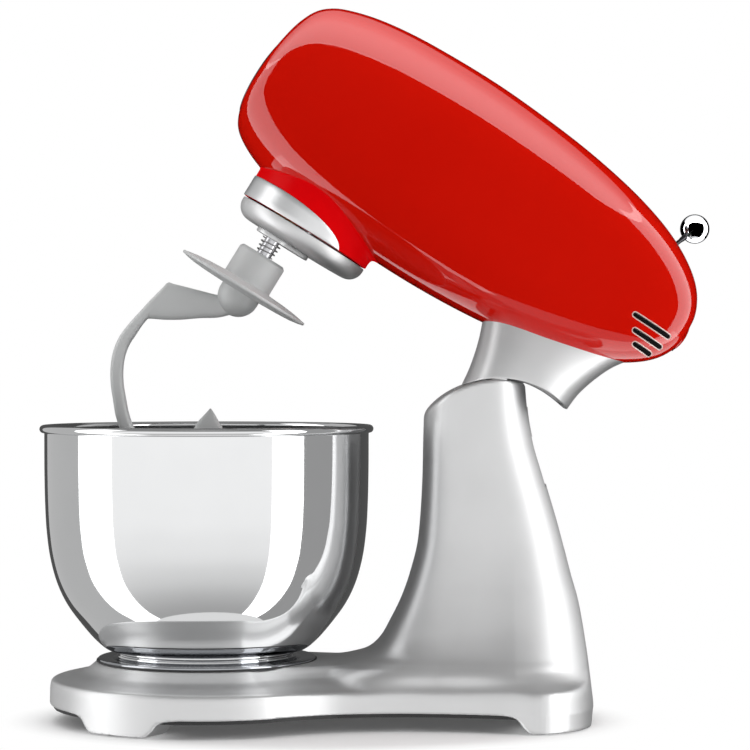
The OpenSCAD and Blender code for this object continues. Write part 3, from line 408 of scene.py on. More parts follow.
def skin_of(field, lo, hi, step):
    """Closed skin where the field is zero: one point in each grid cell that it crosses, moved onto it."""
    axes = [np.arange(lo[i], hi[i] + step, step) for i in range(3)]
    f = field(*np.meshgrid(*axes, indexing="ij"))
    inside = f < 0
    n = [len(a) - 1 for a in axes]
    ends = (slice(0, -1), slice(1, None))
    count = sum(inside[a, b, c].astype(int) for a in ends for b in ends for c in ends)
    mixed = (count > 0) & (count < 8)
    index = -np.ones(n, int)
    index[mixed] = np.arange(mixed.sum())
    cell = np.argwhere(mixed)
    places, hits = np.zeros((len(cell), 3)), np.zeros(len(cell))
    faces = []
    for ax, u, v in ((0, 1, 2), (1, 2, 0), (2, 0, 1)):
        # where the skin crosses the cells' four edges along this axis
        for a, b in ((0, 0), (0, 1), (1, 0), (1, 1)):
            p = cell.copy()
            p[:, u] += a
            p[:, v] += b
            q = p.copy()
            q[:, ax] += 1
            fp, fq = f[tuple(p.T)], f[tuple(q.T)]
            hit = (fp < 0) != (fq < 0)
            spot = p.astype(float)
            spot[:, ax] += np.where(hit, fp / np.where(hit, fp - fq, 1), 0)
            places += spot * hit[:, None]
            hits += hit
        # a face round each edge that it crosses
        near, far = ([slice(None)] * ax + [end] for end in ends)
        at = np.argwhere(inside[tuple(near)] != inside[tuple(far)])
        at = at[(at[:, u] > 0) & (at[:, v] > 0) & (at[:, u] < n[u]) & (at[:, v] < n[v])]
        quad = []
        for du, dv in ((-1, -1), (0, -1), (0, 0), (-1, 0)):
            p = at.copy()
            p[:, u] += du
            p[:, v] += dv
            quad.append(index[tuple(p.T)])
        quad = np.stack(quad, 1)
        outer = ~inside[tuple(at.T)]
        quad[outer] = quad[outer][:, ::-1]
        faces += [tuple(q) for q in quad.tolist()]
    verts = places / hits[:, None] * step + np.array([a[0] for a in axes])
    for _ in range(4):
        g = slope_of(field, verts, 0.15)
        move = -field(*verts.T)[:, None] * g / np.maximum((g * g).sum(1), 0.05)[:, None]
        size = np.linalg.norm(move, axis=1)
        verts += move * np.minimum(1, 0.5 * step / np.maximum(size, 1e-9))[:, None]
    return verts, faces


def slope_of(field, places, h):
    """How fast the field rises along each axis."""
    return np.stack([field(*(places + h * e).T) - field(*(places - h * e).T) for e in np.eye(3)], 1) / (2 * h)


def boxy(c, power):
    """A cosine or sine drawn towards its ends, which squares its ring."""
    return np.sign(c) * np.abs(c) ** power


def oblong_ring(mid, half_y, half_z, n, k):
    """Ring of a rounded oblong in the YZ plane, as (y, z), with points spread evenly round it."""
    t = np.linspace(0, 2 * pi, 721)
    y, z = half_y * boxy(np.cos(t), 2 / n), half_z * boxy(np.sin(t), 2 / n)
    s = np.concatenate([[0], np.cumsum(np.hypot(np.diff(y) / half_y, np.diff(z) / half_z))])
    at = np.linspace(0, s[-1], k, endpoint=False)
    return np.interp(at, s, y), mid + np.interp(at, s, z)


# ---- head

# Along the closed head from nose to tail: place, underside, top, half-width
HEAD = np.array([
    [-192.8, 300, 310, 22], [-192.5, 292.5, 318, 31], [-191.8, 284.5, 327, 38.5],
    [-190.1, 277.5, 340.5, 44.5], [-186.7, 271, 354.6, 49], [-181, 265.9, 365.6, 52.6],
    [-172, 260.8, 372.8, 56], [-160, 256, 377.5, 59], [-143, 251.2, 381.7, 61.7],
    [-118, 247, 384.9, 64.2], [-87, 244.1, 386.3, 65.4], [-52, 242.8, 386.2, 65.5],
    [-18, 243.2, 384.1, 64.9], [15, 245.4, 380.8, 63.4], [45, 249.3, 376.1, 60.8],
    [69, 254.3, 370.8, 57.6], [90, 260.4, 364.3, 53.6], [105, 266.7, 357.8, 49.3],
    [116, 272.9, 351.5, 44.8], [125, 279.2, 344.8, 39.6], [131.5, 285.4, 338, 34.2],
    [136, 291.8, 330.8, 28], [138.5, 297.5, 324.6, 21.5], [139.3, 301.5, 320, 16.5],
])
HEAD_N = 2.5
CAP_X, CAP_Z = 139.0, 307.8
HEAD_FINE = through(HEAD, 200)


def head_at(x):
    """Underside, top and half-width of the closed head at a place along it."""
    return [np.interp(x, HEAD_FINE[:, 0], HEAD_FINE[:, k]) for k in (1, 2, 3)]


def head_under(x, y):
    """Height of the head's underside over a place (closed)."""
    lo, hi, w = head_at(x)
    share = np.clip(np.abs(y) / w, 0, 0.999)
    return (lo + hi) / 2 - (hi - lo) / 2 * (1 - share ** HEAD_N) ** (1 / HEAD_N)


def head_over(x, y):
    """Height of the head's top over a place (closed)."""
    lo, hi, _w = head_at(x)
    return lo + hi - head_under(x, y)


def head_side(x, z):
    """Half-width of the closed head at a place along it and a height."""
    lo, hi, w = head_at(x)
    share = np.clip(np.abs(z - (lo + hi) / 2) / ((hi - lo) / 2), 0, 0.9999)
    return w * (1 - share ** HEAD_N) ** (1 / HEAD_N)


def nose_front(y, z):
    """Place of the closed head's nose in front of a point across it."""
    rows = HEAD_FINE[:60]
    mid, half = (rows[:, 1] + rows[:, 2]) / 2, (rows[:, 2] - rows[:, 1]) / 2
    share = np.abs(y / rows[:, 3]) ** HEAD_N + np.abs((z - mid) / half) ** HEAD_N
    return float(np.interp(1.0, share[::-1], rows[::-1, 0]))


def head_body():
    rings = []
    for x, lo, hi, w in HEAD_FINE:
        y, z = oblong_ring((lo + hi) / 2, w, (hi - lo) / 2, HEAD_N, 160)
        rings.append(np.stack([np.full_like(y, x), y, z], 1))
    return loft(rings)


def collar():
    """Wall below the nose, running out into the head's underside through a soft fillet."""
    rings = []
    for t in around(144):
        d = np.array([cos(t), sin(t)])
        front = 0.5 - 0.5 * d[0]
        flare = 7.0 - 3.6 * front ** 3

        def under(r):
            return float(head_under(BOWL_X + r * d[0], r * d[1]))

        r1 = COLLAR_R + flare
        top = np.array([r1, under(r1) + 0.02])
        slope = under(r1 + 0.5) - under(r1 - 0.5)
        inward = np.array([-1, -slope]) / hypot(1, slope)
        foot = np.array([COLLAR_R, max(min(under(COLLAR_R) - flare * 0.8, top[1] - 2), GAP_Z + 1.5)])
        pull = np.linalg.norm(top - foot) * 0.62
        a, b = top + inward * pull, foot + np.array([0, pull])
        s = np.linspace(0, 1, 12)[:, None]
        curve = (1 - s) ** 3 * top + 3 * s * (1 - s) ** 2 * a + 3 * s * s * (1 - s) * b + s ** 3 * foot
        wall = [(COLLAR_R, foot[1] * (1 - f) + (GAP_Z + 0.5) * f) for f in (0.33, 0.66, 1.0)]
        lip = [(COLLAR_R - 0.5, GAP_Z), (COLLAR_R - 3, GAP_Z), (COLLAR_R - 3, GAP_Z + 14),
               (COLLAR_R - 3, top[1] + 3), (r1 - 1, top[1] + 4)]
        rings.append(at_angle(t, [*curve.tolist(), *wall, *lip]))
    return loft(rings, wrap=True)


def vent_slot(x0, x1, z, half):
    """Outline of a round-ended slot in the head's side, as (x, z)."""
    return arc(x1 - half, z, half, -90, 90, 13) + arc(x0 + half, z, half, 90, 270, 13)


def slot_bead(outline, side, r):
    """Thin rounded rim that follows a slot's edge on the head's side."""
    x, z = through(outline, 96, closed=True).T
    centre = np.stack([x, side * (head_side(x, z) - 0.15), z], 1)
    t = np.roll(centre, -1, axis=0) - np.roll(centre, 1, axis=0)
    t /= np.linalg.norm(t, axis=1)[:, None]
    n = [0, side, 0] - t * t[:, 1:2] * side
    n /= np.linalg.norm(n, axis=1)[:, None]
    b = np.cross(t, n)
    return loft(np.stack([centre + r * (cos(a) * n + sin(a) * b) for a in around(8)], 1), wrap=True)


def head_top_strip(x, half_y, above, depth):
    """Strip across the head's top that follows it, from the places x along it."""
    rings = []
    for y in np.linspace(-half_y, half_y, 41):
        over = [(a, y, float(head_over(a, y)) + above) for a in x]
        rings.append(over + [(a, y, z - depth) for a, _y, z in over[::-1]])
    return loft(rings)


# Places of the vents' ends along the closed head, and their heights
VENTS = [(99.5, 130.2, 300.6), (105.0, 129.5, 292.1), (110.2, 126.3, 284.8)]
VENT_HALF = 1.85
LEVER_X, LEVER_Z, LEVER_SWING = 83.0, 300.0, 23.0
SLIT_X = LEVER_X + 20
LEVER_SLOT = [(SLIT_X - 3.2, -29), (SLIT_X + 3.2, -29), (SLIT_X + 3.2, 29), (SLIT_X - 3.2, 29)]


def make_head():
    obj = solid("head_body", head_body(), "head", "red_enamel")
    cuts, beads = [], []
    for n, (x0, x1, z) in enumerate(VENTS):
        outline = vent_slot(x0, x1, z, VENT_HALF)
        for side in (-1, 1):
            # each vent is a blind pocket whose walls and floor take black plastic: painted shade for the dark
            # inside of the opening
            floor = float(head_side((x0 + x1) / 2, z)) - 12
            slot = prism(outline, 1, *sorted((side * floor, side * 80)))
            cuts.append((f"vent_painted_shade_cut_{n}{side}", slot, "black_plastic"))
            beads.append(slot_bead(outline, side, 0.42))
    cuts.append(("lever_cut", prism(LEVER_SLOT, 2, 340, 400), "red_enamel"))
    cap_seat = turned_x([(0, 0), (11.75, 0), (11.75, 9), (0, 9)], CAP_X - 3.2, 0, CAP_Z)
    drive = revolve([(0, 225), (40, 225), (40, 275), (0, 275)], BOWL_X, steps=96)
    cuts += [("cap_cut", cap_seat, "black_plastic"), ("drive_cut", drive, "black_plastic")]
    cut(obj, [solid(name, shape, "head", look) for name, shape, look in cuts])
    tie(obj, "head", ["head_shell"], sharp=30)
    # the collar is the head's red paint, drawn brighter as painted light
    piece("collar", collar(), "head", "red_enamel", look="enamel_painted_bright")
    # the rims round the vents are red enamel, drawn pale pink as a painted highlight
    piece("vent_rims_painted_highlight", merge(*beads), "head", "red_enamel", look="painted_highlight_edge")


def make_band():
    """Bright band round the front of the collar, under the edge of a drooping curve."""
    centre, span, rise = -142.4, 57.0, 14.6
    inner, outer = COLLAR_R - 1.5, COLLAR_R + 0.55
    end = acos((centre + span - 0.02 - BOWL_X) / outer)
    rings = []
    low = GAP_Z + 0.1
    for t in np.linspace(end, 2 * pi - end, 240):
        x = BOWL_X + outer * cos(t)
        top = low + rise * sqrt(max(1 - max((x - centre) / span, 0) ** 2, 0))
        top = max(top, low + 0.3)
        e = min(0.5, (top - low) / 3)
        ring = [(inner, low), (outer - e, low), (outer - 0.3 * e, low + 0.3 * e), (outer, low + e),
                *[(outer, low + e + (top - low - 2 * e) * s) for s in (0.25, 0.5, 0.75)],
                (outer, top - e), (outer - 0.3 * e, top - 0.3 * e), (outer - e, top), (inner, top)]
        rings.append(at_angle(t, ring))
    piece("front_band", loft(rings), "head", "chrome", ["trim_band"], sharp=50, look="brushed_steel")


def make_head_trim():
    # plate on the nose: a shallow chrome dish with a rolled edge; faces that don't face ahead take a painted
    # dark reflection
    rings = []
    for grow, out in ((0, -0.6), (0, 0.3), (-0.5, 0.65), (-1.6, 0.75), (-3.0, 0.5), (-8.0, 0.7), (-18, 0.9)):
        y, z = oblong_ring(308.5, 31 + grow, 28 + grow, 2.4, 96)
        rings.append([(nose_front(a, b) - out, a, b) for a, b in zip(y, z)])
    plate = piece("nose_plate", loft(rings), "head", "chrome", ["front_plate"], sharp=60)
    plate.data.materials.append(MATERIALS["chrome_painted_dark"])
    ahead = Vector((-cos(TILT), 0, sin(TILT)))
    for face in plate.data.polygons:
        face.material_index = int(face.normal.dot(ahead) < 0.9)
    # round cap on the tail, in a narrow groove
    place = (CAP_X - 0.1, 0, CAP_Z)
    cap = [(0, 2.9), (3, 2.75), (6, 2.25), (8.6, 1.4), (10.2, 0.5), (10.9, -0.3), (11.1, -1.2), (11.1, -3.1),
           (0, -3.1)]
    piece("tail_cap", turned_x(cap, *place), "head", "red_enamel", ["rear_cap"], sharp=50)
    seam = [(11.15, -1.6), (11.75, -1.6), (11.65, 0.1), (11.25, 0.1)]
    piece("cap_seam", turned_x(seam, *place), "head", "black_plastic", sharp=50)
    # two soft lips over the lever's slot, level with the head's top, with the slit between them
    lips = [head_top_strip(np.linspace(SLIT_X + start, SLIT_X + start + 3.4, 4), 29.2, 0.03, 3.2)
            for start in (-3.4, 0)]
    piece("lever_lips", merge(*lips), "head", "red_enamel", ["lever_plate"], sharp=30)
    slit = head_top_strip((SLIT_X - 0.15, SLIT_X + 0.15), 28.6, 0.08, 0.5)
    piece("lever_slit", slit, "head", "black_plastic", sharp=30)


# ---- neck

# Up from the hinge, head closed: height, front, rear, and gain in half-width over the column's
NECK = np.array([
    [20, -47.5, 19.5, 0], [36, -50, 18.1, -0.3], [48, -51.3, 17.8, -1.2], [61, -53.9, 18, -3],
    [71, -56.7, 18.8, -5], [81, -60.4, 21.2, -7.4], [90, -64.2, 24.4, -9.4], [99, -68.6, 28.5, -11],
    [108, -73, 34.5, -12.2], [120, -79, 44, -13],
])
NECK_R = 63.3
COLUMN_W = 42.0


def neck_arch(x):
    """Height of the neck's hollow underside, which turns over the column, all from the hinge."""
    return np.sqrt(np.maximum(NECK_R ** 2 - x ** 2, 1))


def make_neck():
    steps, count, edge = 40, 200, 0.9
    along, across = boxy(np.cos(around(count)), 2 / 3), boxy(np.sin(around(count)), 2 / 3)

    def at(z):
        front, rear, gain = splines(NECK, z)
        return (front + rear) / 2 + (rear - front) / 2 * along, (COLUMN_W + gain) * across

    def ring(x, y, z):
        return np.stack([HINGE_X + x, y, HINGE_Z + z], 1)

    # the foot lies on the arch and the top just inside the head, each found by steps
    low = np.full(count, 55.0)
    for _ in range(30):
        low = 0.5 * low + 0.5 * neck_arch(at(low)[0])
    high = np.full(count, 90.0)
    for _ in range(40):
        x, y = at(high)
        high = 0.5 * high + 0.5 * (head_under(x + HINGE_X, y) - HINGE_Z)
    high += 1.2
    # a small rounded edge at the foot
    rings = []
    mid = sum(splines(NECK, low)[:2]) / 2
    for inset, lift in ((4.0, 0.0), (edge, 0.0), (0.3 * edge, 0.12 * edge), (0.05, 0.6 * edge)):
        x, y = at(low + lift)
        f = 1 - inset / 40
        x = mid + (x - mid) * f
        rings.append(ring(x, y * f, neck_arch(x) if inset > 1 else low + lift))
    for s in np.linspace(0, 1, steps):
        z = low + edge * 1.3 + (high - low - edge * 1.3) * s
        rings.append(ring(*at(z), z))
    x, y = at(high)
    rings.append(ring(x * 0.93, y * 0.93, high + 1.5))
    # closed through a sleeve inside, so that the arm has its way through
    x, y = np.clip(x * 0.9, -46, 14), np.clip(y * 0.9, -24, 24)
    rings += [ring(x, y, head_under(x + HINGE_X, y) - HINGE_Z + 1.5), ring(x, y, neck_arch(x) + 0.3)]
    piece("neck_casting", loft(rings, True), "head", "satin_aluminium", ["neck"], sharp=45)


# ---- stand

BASE_R, WAIST_W, REACH = 105.0, 67.0, 193.5
REAR_X, REAR_W, REAR_R = HINGE_X + 64.0, 85.0, 60.0
RIM_LO = 11.8
# Way in from the base's outline, and the deck's height there
DECK = np.array([
    [0, 26.6], [1.2, 27.8], [3, 28.6], [7, 29.5], [13.5, 31], [18, 31.9], [22, 33.1], [26, 35.5],
    [30, 38.8], [32.5, 40.1], [36, 40.4], [60, 40.5],
])
# Height, front and rear from the hinge, and what the half-width gains
COLUMN = np.array([
    [20, -124, 64.2, 25], [27, -121.5, 63.8, 24.2], [33, -118, 63.2, 22.2], [38, -111, 62.7, 19.4],
    [41.5, -100, 62.2, 17.2], [46, -87.5, 61.4, 14.4], [54, -78, 59.8, 11.5], [66, -70.9, 57.5, 8.5],
    [82.5, -62.9, 54, 5.5], [98, -57.5, 49.6, 3.3], [120, -52.2, 44, 1.5], [142, -50.2, 37.8, 0.5],
    [165, -49.1, 30.8, 0], [185, -48.7, 24.9, 0], [205, -48.2, 21.2, 0], [231, -48, 19, 0],
])
# Feet of one side: middle, turn, and half-sizes along and across
FEET = [(BOWL_X - 47.4, 78.9, 31.0, 22.5, 18.0), (REAR_X - 24.5, 63.5, 0.0, 23.5, 23.5)]
PADS = [(BOWL_X - 50.6, 73.5), (BOWL_X - 50.6, -73.5), (REAR_X - 30, 59.0), (REAR_X - 30, -59.0)]
FOOT_LO = 0.8


def base_line():
    """The base seen from above: a disc, a waist and a rounded rear, then the same mirrored."""
    side = arc(BOWL_X, 0, BASE_R, 180, 63, 14)
    side += [(BOWL_X + u * REACH, WAIST_W + w) for u, w in (
        (0.285, 21), (0.375, 11.5), (0.46, 5), (0.57, 1), (0.68, 0), (0.79, 1.7), (0.91, 5.5), (1.02, 11))]
    side += [(REAR_X - REAR_R + REAR_R * cos(a) ** (2 / 3), REAR_W * sin(a) ** (2 / 3))
             for a in np.radians([78, 62, 46, 30, 14, 4])]
    loop = side + [(x, -y) for x, y in side[:0:-1]]
    return through(loop, 320, closed=True)


def plan_distance(line):
    """Signed distance to the base's outline seen from above, looked up from a fine grid."""
    step = 1.0
    xs = np.arange(-232, 162, step)
    ys = np.arange(-122, 122 + step, step)
    px, py = np.meshgrid(xs, ys, indexing="ij")
    best = np.full(px.shape, 1e9)
    inside = np.zeros(px.shape, bool)
    for a, b in zip(line, np.roll(line, -1, axis=0)):
        e = b - a
        t = np.clip(((px - a[0]) * e[0] + (py - a[1]) * e[1]) / (e @ e), 0, 1)
        best = np.minimum(best, (px - a[0] - t * e[0]) ** 2 + (py - a[1] - t * e[1]) ** 2)
        hit = (a[1] > py) != (b[1] > py)
        inside ^= hit & (px < a[0] + (py - a[1]) * e[0] / (e[1] if e[1] else 1e-9))
    table = np.where(inside, -1, 1) * np.sqrt(best)

    def look(x, y):
        u = np.clip((x - xs[0]) / step, 1, len(xs) - 3.001)
        v = np.clip((y - ys[0]) / step, 1, len(ys) - 3.001)
        i, j = u.astype(int), v.astype(int)
        fu, fv = u - i, v - j

        def weights(f):
            return ((-f ** 3 + 2 * f ** 2 - f) / 2, (3 * f ** 3 - 5 * f ** 2 + 2) / 2,
                    (-3 * f ** 3 + 4 * f ** 2 + f) / 2, (f ** 3 - f ** 2) / 2)

        wu, wv = weights(fu), weights(fv)
        return sum(wu[a] * wv[b] * table[i + a - 1, j + b - 1] for a in range(4) for b in range(4))

    return look


def column_field(x, y, z):
    front, rear, gain = splines(COLUMN, z)
    flare = spline([0, 20, 33, 46, 66, 98, 130, 240], [11, 11, 10, 8, 5, 2, 0, 0], z)
    a, b = (rear - front) / 2, COLUMN_W + gain + flare * np.clip((x - 40) / 50, 0, 1)
    u = np.abs(x - HINGE_X - (front + rear) / 2) / a
    v = np.abs(y) / b
    rho = np.maximum((u ** 3 + v ** 3) ** (1 / 3), 1e-6)
    slope = np.sqrt((u * u / a) ** 2 + (v * v / b) ** 2) / rho ** 2
    return (rho - 1) / np.maximum(slope, 1e-4)


def stand_field(plan):
    def field(x, y, z):
        d = plan(x, y)
        lean = np.clip(x / 120, 0, 1)
        d = d + np.maximum(z - 12, 0) * (0.02 + 0.10 * lean * lean * (3 - 2 * lean))
        near = np.clip(1 + d / 24, 0, 1)
        dip = spline([-150, -75, -28, 16, 43, 75, 99, 150], [0, 1.0, 2.6, 3.2, 3.2, 2.4, 1.2, 0], x)
        dip = dip * near * near * (3 - 2 * near)
        (top,), (above,), (below,) = (splines(DECK, inward - d) for inward in (0, 0.3, -0.3))
        deck = (z - top + dip) / np.sqrt(1 + ((above - below) / 0.6) ** 2)
        body = smax(deck, d, 3.2)
        column = smax(column_field(x, y, z), RIM_LO + 6 - z, 4)
        arch = np.minimum(np.hypot(x - HINGE_X, np.maximum(z - HINGE_Z, 0)) - 62.5, z - 196)
        column = smax(column, arch, 2.6)
        rear_face = np.clip((x - 105) / 30, 0, 1) * np.clip((75 - np.abs(y)) / 30, 0, 1)
        column = smax(column, d + (38 - z) * 0.45 - 16 * rear_face, 6)
        body = smin(body, column, 9)
        body = smax(body, d, 1.6)
        low = RIM_LO - z
        feet = 1e3
        flare = spline([0, 3.5, 8.5, 10, 11, 12], [0, 2.8, 6.3, 8.5, 13, 19], z - FOOT_LO)
        for cx, cy, turn, along, across in FEET:
            c, s = cos(radians(turn)), sin(radians(turn))
            u = ((x - cx) * c + (np.abs(y) - cy) * s) / along
            v = ((np.abs(y) - cy) * c - (x - cx) * s) / across
            foot = (((u ** 4 + v ** 4) ** 0.25 - 1) * across - flare) * 0.75
            foot = smax(foot, FOOT_LO - z, 1.2)
            feet = np.minimum(feet, foot)
        low = smin(low, feet, 3.0)
        return smax(body, low, 1.6)
    return field


def read(items, key, width=1, kind=float):
    """One property of all of a mesh's points, corners or faces."""
    values = np.zeros(len(items) * width, kind)
    items.foreach_get(key, values)
    return values.reshape(-1, width)


def settle_normals(mesh, field):
    """Shades a skin by its field's own slope, and the faces cut into it as they lie."""
    co = read(mesh.vertices, "co", 3) * 1000
    slope = slope_of(field, co, 0.2)
    slope /= np.maximum(np.linalg.norm(slope, axis=1), 1e-9)[:, None]
    off = np.abs(field(*co.T))
    corner = read(mesh.loops, "vertex_index", kind=int)[:, 0]
    size = read(mesh.polygons, "loop_total", kind=int)[:, 0]
    flat = np.repeat(read(mesh.polygons, "normal", 3), size, axis=0)
    skin = (off[corner] < 0.3) & ((flat * slope[corner]).sum(1) > 0.6)
    mesh.normals_split_custom_set(np.where(skin[:, None], slope[corner], flat).tolist())


def make_stand():
    step = 1.7
    field = stand_field(plan_distance(base_line()))
    skin = skin_of(field, (-222, -110, -1), (150, 110, 232), step)
    obj = solid("stand_body", skin, "stand", "satin_aluminium")
    # the arm's way: its swing, a round well for its eye and a pocket for its tail
    arm = [(HINGE_X, HINGE_Z - 12), *arc(HINGE_X, HINGE_Z, 84, 115.9, 66.9, 17)]
    well = arc(HINGE_X, HINGE_Z, 34, 0, 360, 49)[:-1]
    tail = [(HINGE_X - 40, HINGE_Z - 44), (HINGE_X + 30, HINGE_Z - 44), (HINGE_X + 30, HINGE_Z - 4),
            (HINGE_X - 40, HINGE_Z - 4)]
    cuts = [("arm_cut", prism(arm, 1, -18.9, 18.9)), ("well_cut", prism(well, 1, -18.97, 18.97)),
            ("tail_cut", prism(tail, 1, -19.03, 19.03)),
            ("button_cut", turned_x([(0, 0), (14.1, 0), (14.1, 60), (0, 60)], HINGE_X + 19, 0, BUTTON_Z))]
    cuts += [(f"pad_cut_{n}", revolve([(0, -2), (11.3, -2), (11.3, 3.2), (0, 3.2)], x, y, steps=64))
             for n, (x, y) in enumerate(PADS)]
    cut(obj, [solid(name, shape, "stand", "satin_aluminium") for name, shape in cuts])
    tie(obj, "stand", ["stand_casting"], sharp=0)
    settle_normals(obj.data, field)


def make_button_spring():
    """Coil behind the release button."""
    v, f = wound(4, 160, 6.2, 0, 5.8, 0.62)
    v = np.roll(v, 1, axis=1) + [HINGE_X + 22.7, 0, BUTTON_Z]
    coil = piece("button_coil", (v, f), "stand", "spring_steel", ["button_spring"])
    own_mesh(coil)


def make_base_trim():
    # bowl seat: a shallow polished dish with a thin dark seam round it
    r = 72.7
    seat = [(0, 40.3), (r, 40.3), (r, 41.2), *arc(r - 0.9, 41.2, 0.9, 0, 90, 6), (r - 6, 42.2),
            (r - 10.5, 41.7), (63.2, 41.6), (62.4, 42.1), (54, 42.1), (54, 46.4), (49.6, 46.4), (49.6, 42.1),
            (0, 42.1)]
    seat_lugs = lugs((0, 120, 240), ((53.8, 44.4), (55.4, 44.4), (55.4, 46.4), (53.8, 46.4)))
    piece("bowl_seat", merge(revolve(seat, BOWL_X), *seat_lugs), "stand", "dark_chrome", ["seat_ring"])
    seam = [(r + 0.1, 40), (r + 1.1, 40), (r + 0.9, 40.75), (r + 0.1, 40.85)]
    piece("seat_seam", revolve(seam, BOWL_X), "stand", "black_plastic")
    lip = [(0, 0), (5.6, 0), (6, 0.5), (6, 7.6), (5.4, 8.4), (3.9, 8.6), (3.4, 8), (3.4, 1.5), (0, 1.5)]
    gland = turned_x(lip, REAR_X - 8.2, GLAND_Y, GLAND_Z, steps=64)
    piece("gland", gland, "stand", "rubber", ["cable_gland"], sharp=30)
    pad = [(0, 0), (10, 0), (10.8, 0.6), (11, 1.2), (11, 2.5), (10.4, 3.15), (0, 3.15)]
    stud = [(0, 3.1), (3, 3.1), (3, 9.1), (0, 9.1)]
    feet = [revolve(outline, x, y, steps) for x, y in PADS for outline, steps in ((pad, 72), (stud, 32))]
    piece("foot_pads", merge(*feet), "stand", "rubber", ["rubber_feet"])


# ---- bowl

def make_bowl():
    wall, thick, rim_z = 108.3, 1.1, SEAT_Z + 155
    outer = through([
        [60.2, 46.6], [65.9, 47.6], [73.6, 53.6], [84.4, 66], [93.4, 78.6], [99.8, 92.3], [104.3, 109],
        [106.7, 127], [107.7, 144.5], [108.2, 167], [wall, 191.6]], 90)
    d = np.gradient(outer, axis=0)
    normal = np.stack([-d[:, 1], d[:, 0]], 1) / np.linalg.norm(d, axis=1)[:, None]
    inner = (outer + normal * thick)[::-1]
    rim = arc(wall + 0.55, rim_z - 2.6, 2.65, -60, 205, 24)
    profile = [(0, 47.4), (56, 47.4), (56.1, 46.9), (59.6, 46.8), *outer.tolist(),
               *rim, *[p for p in inner.tolist() if p[1] > 49.6], (58, 49.0), (50, 48.6), (0, 48.6)]
    bowl = revolve(profile, BOWL_X, steps=240)
    obj = piece("bowl_body", bowl, "bowl", "polished_steel", ["bowl_shell"], sharp=35)
    obj.data.materials.append(MATERIALS["bowl_inside_brushed_painted_shade"])
    # inner faces take the brushed finish, darker as painted shade inside the bowl
    for face in obj.data.polygons:
        away = Vector((face.center.x - BOWL_X / 1000, face.center.y, 0))
        if face.center.z < (rim_z - 3) / 1000 and (face.normal.dot(away) < 0 or face.normal.z > 0.7):
            face.material_index = 1
    foot = [(56.2, 42.05), (59, 42.05), (59.9, 42.5), (60.3, 43.3), (60.1, 44), (59.2, 44.4),
            (59, 44.9), (59.6, 45.4), (60.3, 46), (60.2, 46.6), (59.6, 46.85), (56.2, 46.85)]
    foot_lugs = lugs((60, 180, 300), ((54.4, 42.4), (56.6, 42.4), (56.6, 44.0), (54.4, 44.0)))
    base = merge(revolve(foot, BOWL_X, steps=240), *foot_lugs)
    piece("bowl_base", base, "bowl", "polished_steel", ["bowl_foot"])


# ---- planetary, spring and hook

def make_planetary():
    lo = PLATE_Z + 3.2
    profile = [(6.2, lo), (30, lo), *arc(36.8, lo + 10.2, 10.2, -90, 0, 16)[1:], (47, lo + 11.6),
               (46.6, lo + 12), (6.2, lo + 12)]
    piece("planetary_disc", revolve(profile, BOWL_X), "carrier", "satin_aluminium", ["planetary_cover"])
    # the boss runs from the drive shaft to the tool's shaft
    ends = ((BOWL_X, 0, 11, 313.6), (TOOL_X, TOOL_Y, 13, 133.6))
    rings = [[(x, y, PLATE_Z + z) for mx, my, r, first in ends
              for x, y in arc(mx, my, r + grow, first, first + 180, 37)]
             for grow, z in ((-0.6, 0.0), (-0.15, 0.15), (0, 0.6), (0, 2.4), (-0.15, 2.95), (-0.6, 3.1))]
    piece("boss", loft(rings), "carrier", "chrome", ["boss_plate"], sharp=50, look="satin_aluminium")


def make_spring():
    v, f = wound(3.5, 240, 5.9, 1.1, PLATE_Z - HUB_Z - 1.7, 0.42)
    piece("coil", (v + [TOOL_X, TOOL_Y, HUB_Z + 0.8], f), "tool", "spring_steel", ["tool_spring"])


# Sections of the hook: its outer and inner edge, each as the way from the tool's axis and down
# from the hub's top, and half its thickness
HOOK = np.array([
    [-2, 34, 8, 38, 5.5], [-13.5, 38.7, -3, 50, 4.6], [-24, 42, -14, 57.5, 4.2], [-34, 45.1, -25, 65.5, 4],
    [-41, 47.3, -34, 71, 4], [-44.8, 48.6, -41, 74.6, 4.1], [-46, 53.5, -43.4, 76.2, 4.1],
    [-47.4, 59.4, -43.9, 78.5, 4.1], [-48.8, 65.5, -44.2, 80.5, 4.1], [-50.2, 73, -44.4, 83, 4.1],
    [-51.7, 80.7, -44.5, 86, 4.1], [-52.9, 88.7, -44.6, 90.5, 4.2], [-53.4, 96.5, -44.8, 96.5, 4.2],
    [-51.6, 107.2, -43.3, 104.8, 4.3], [-47.3, 117.2, -39.8, 113, 4.4], [-41.8, 125.8, -34.7, 121, 4.5],
    [-34.5, 134.6, -28, 128.8, 4.6], [-27, 143, -21, 136.3, 4.8], [-17.5, 150.3, -13.2, 142.4, 4.9],
    [-5.5, 154.6, -4.5, 145.5, 5.1], [8, 154.8, 5.4, 145.8, 5.3], [21, 149.6, 14, 141.6, 5.4],
    [31.5, 139, 20.3, 133, 5.2], [37.5, 126, 21, 125.5, 4.6], [38, 113, 20.6, 118, 3.6],
    [33, 109.8, 21.5, 112.5, 2.6], [27.3, 106.6, 22.4, 108.2, 1.4],
    [23.7, 104.9, 22.9, 105.2, 0.6],
])


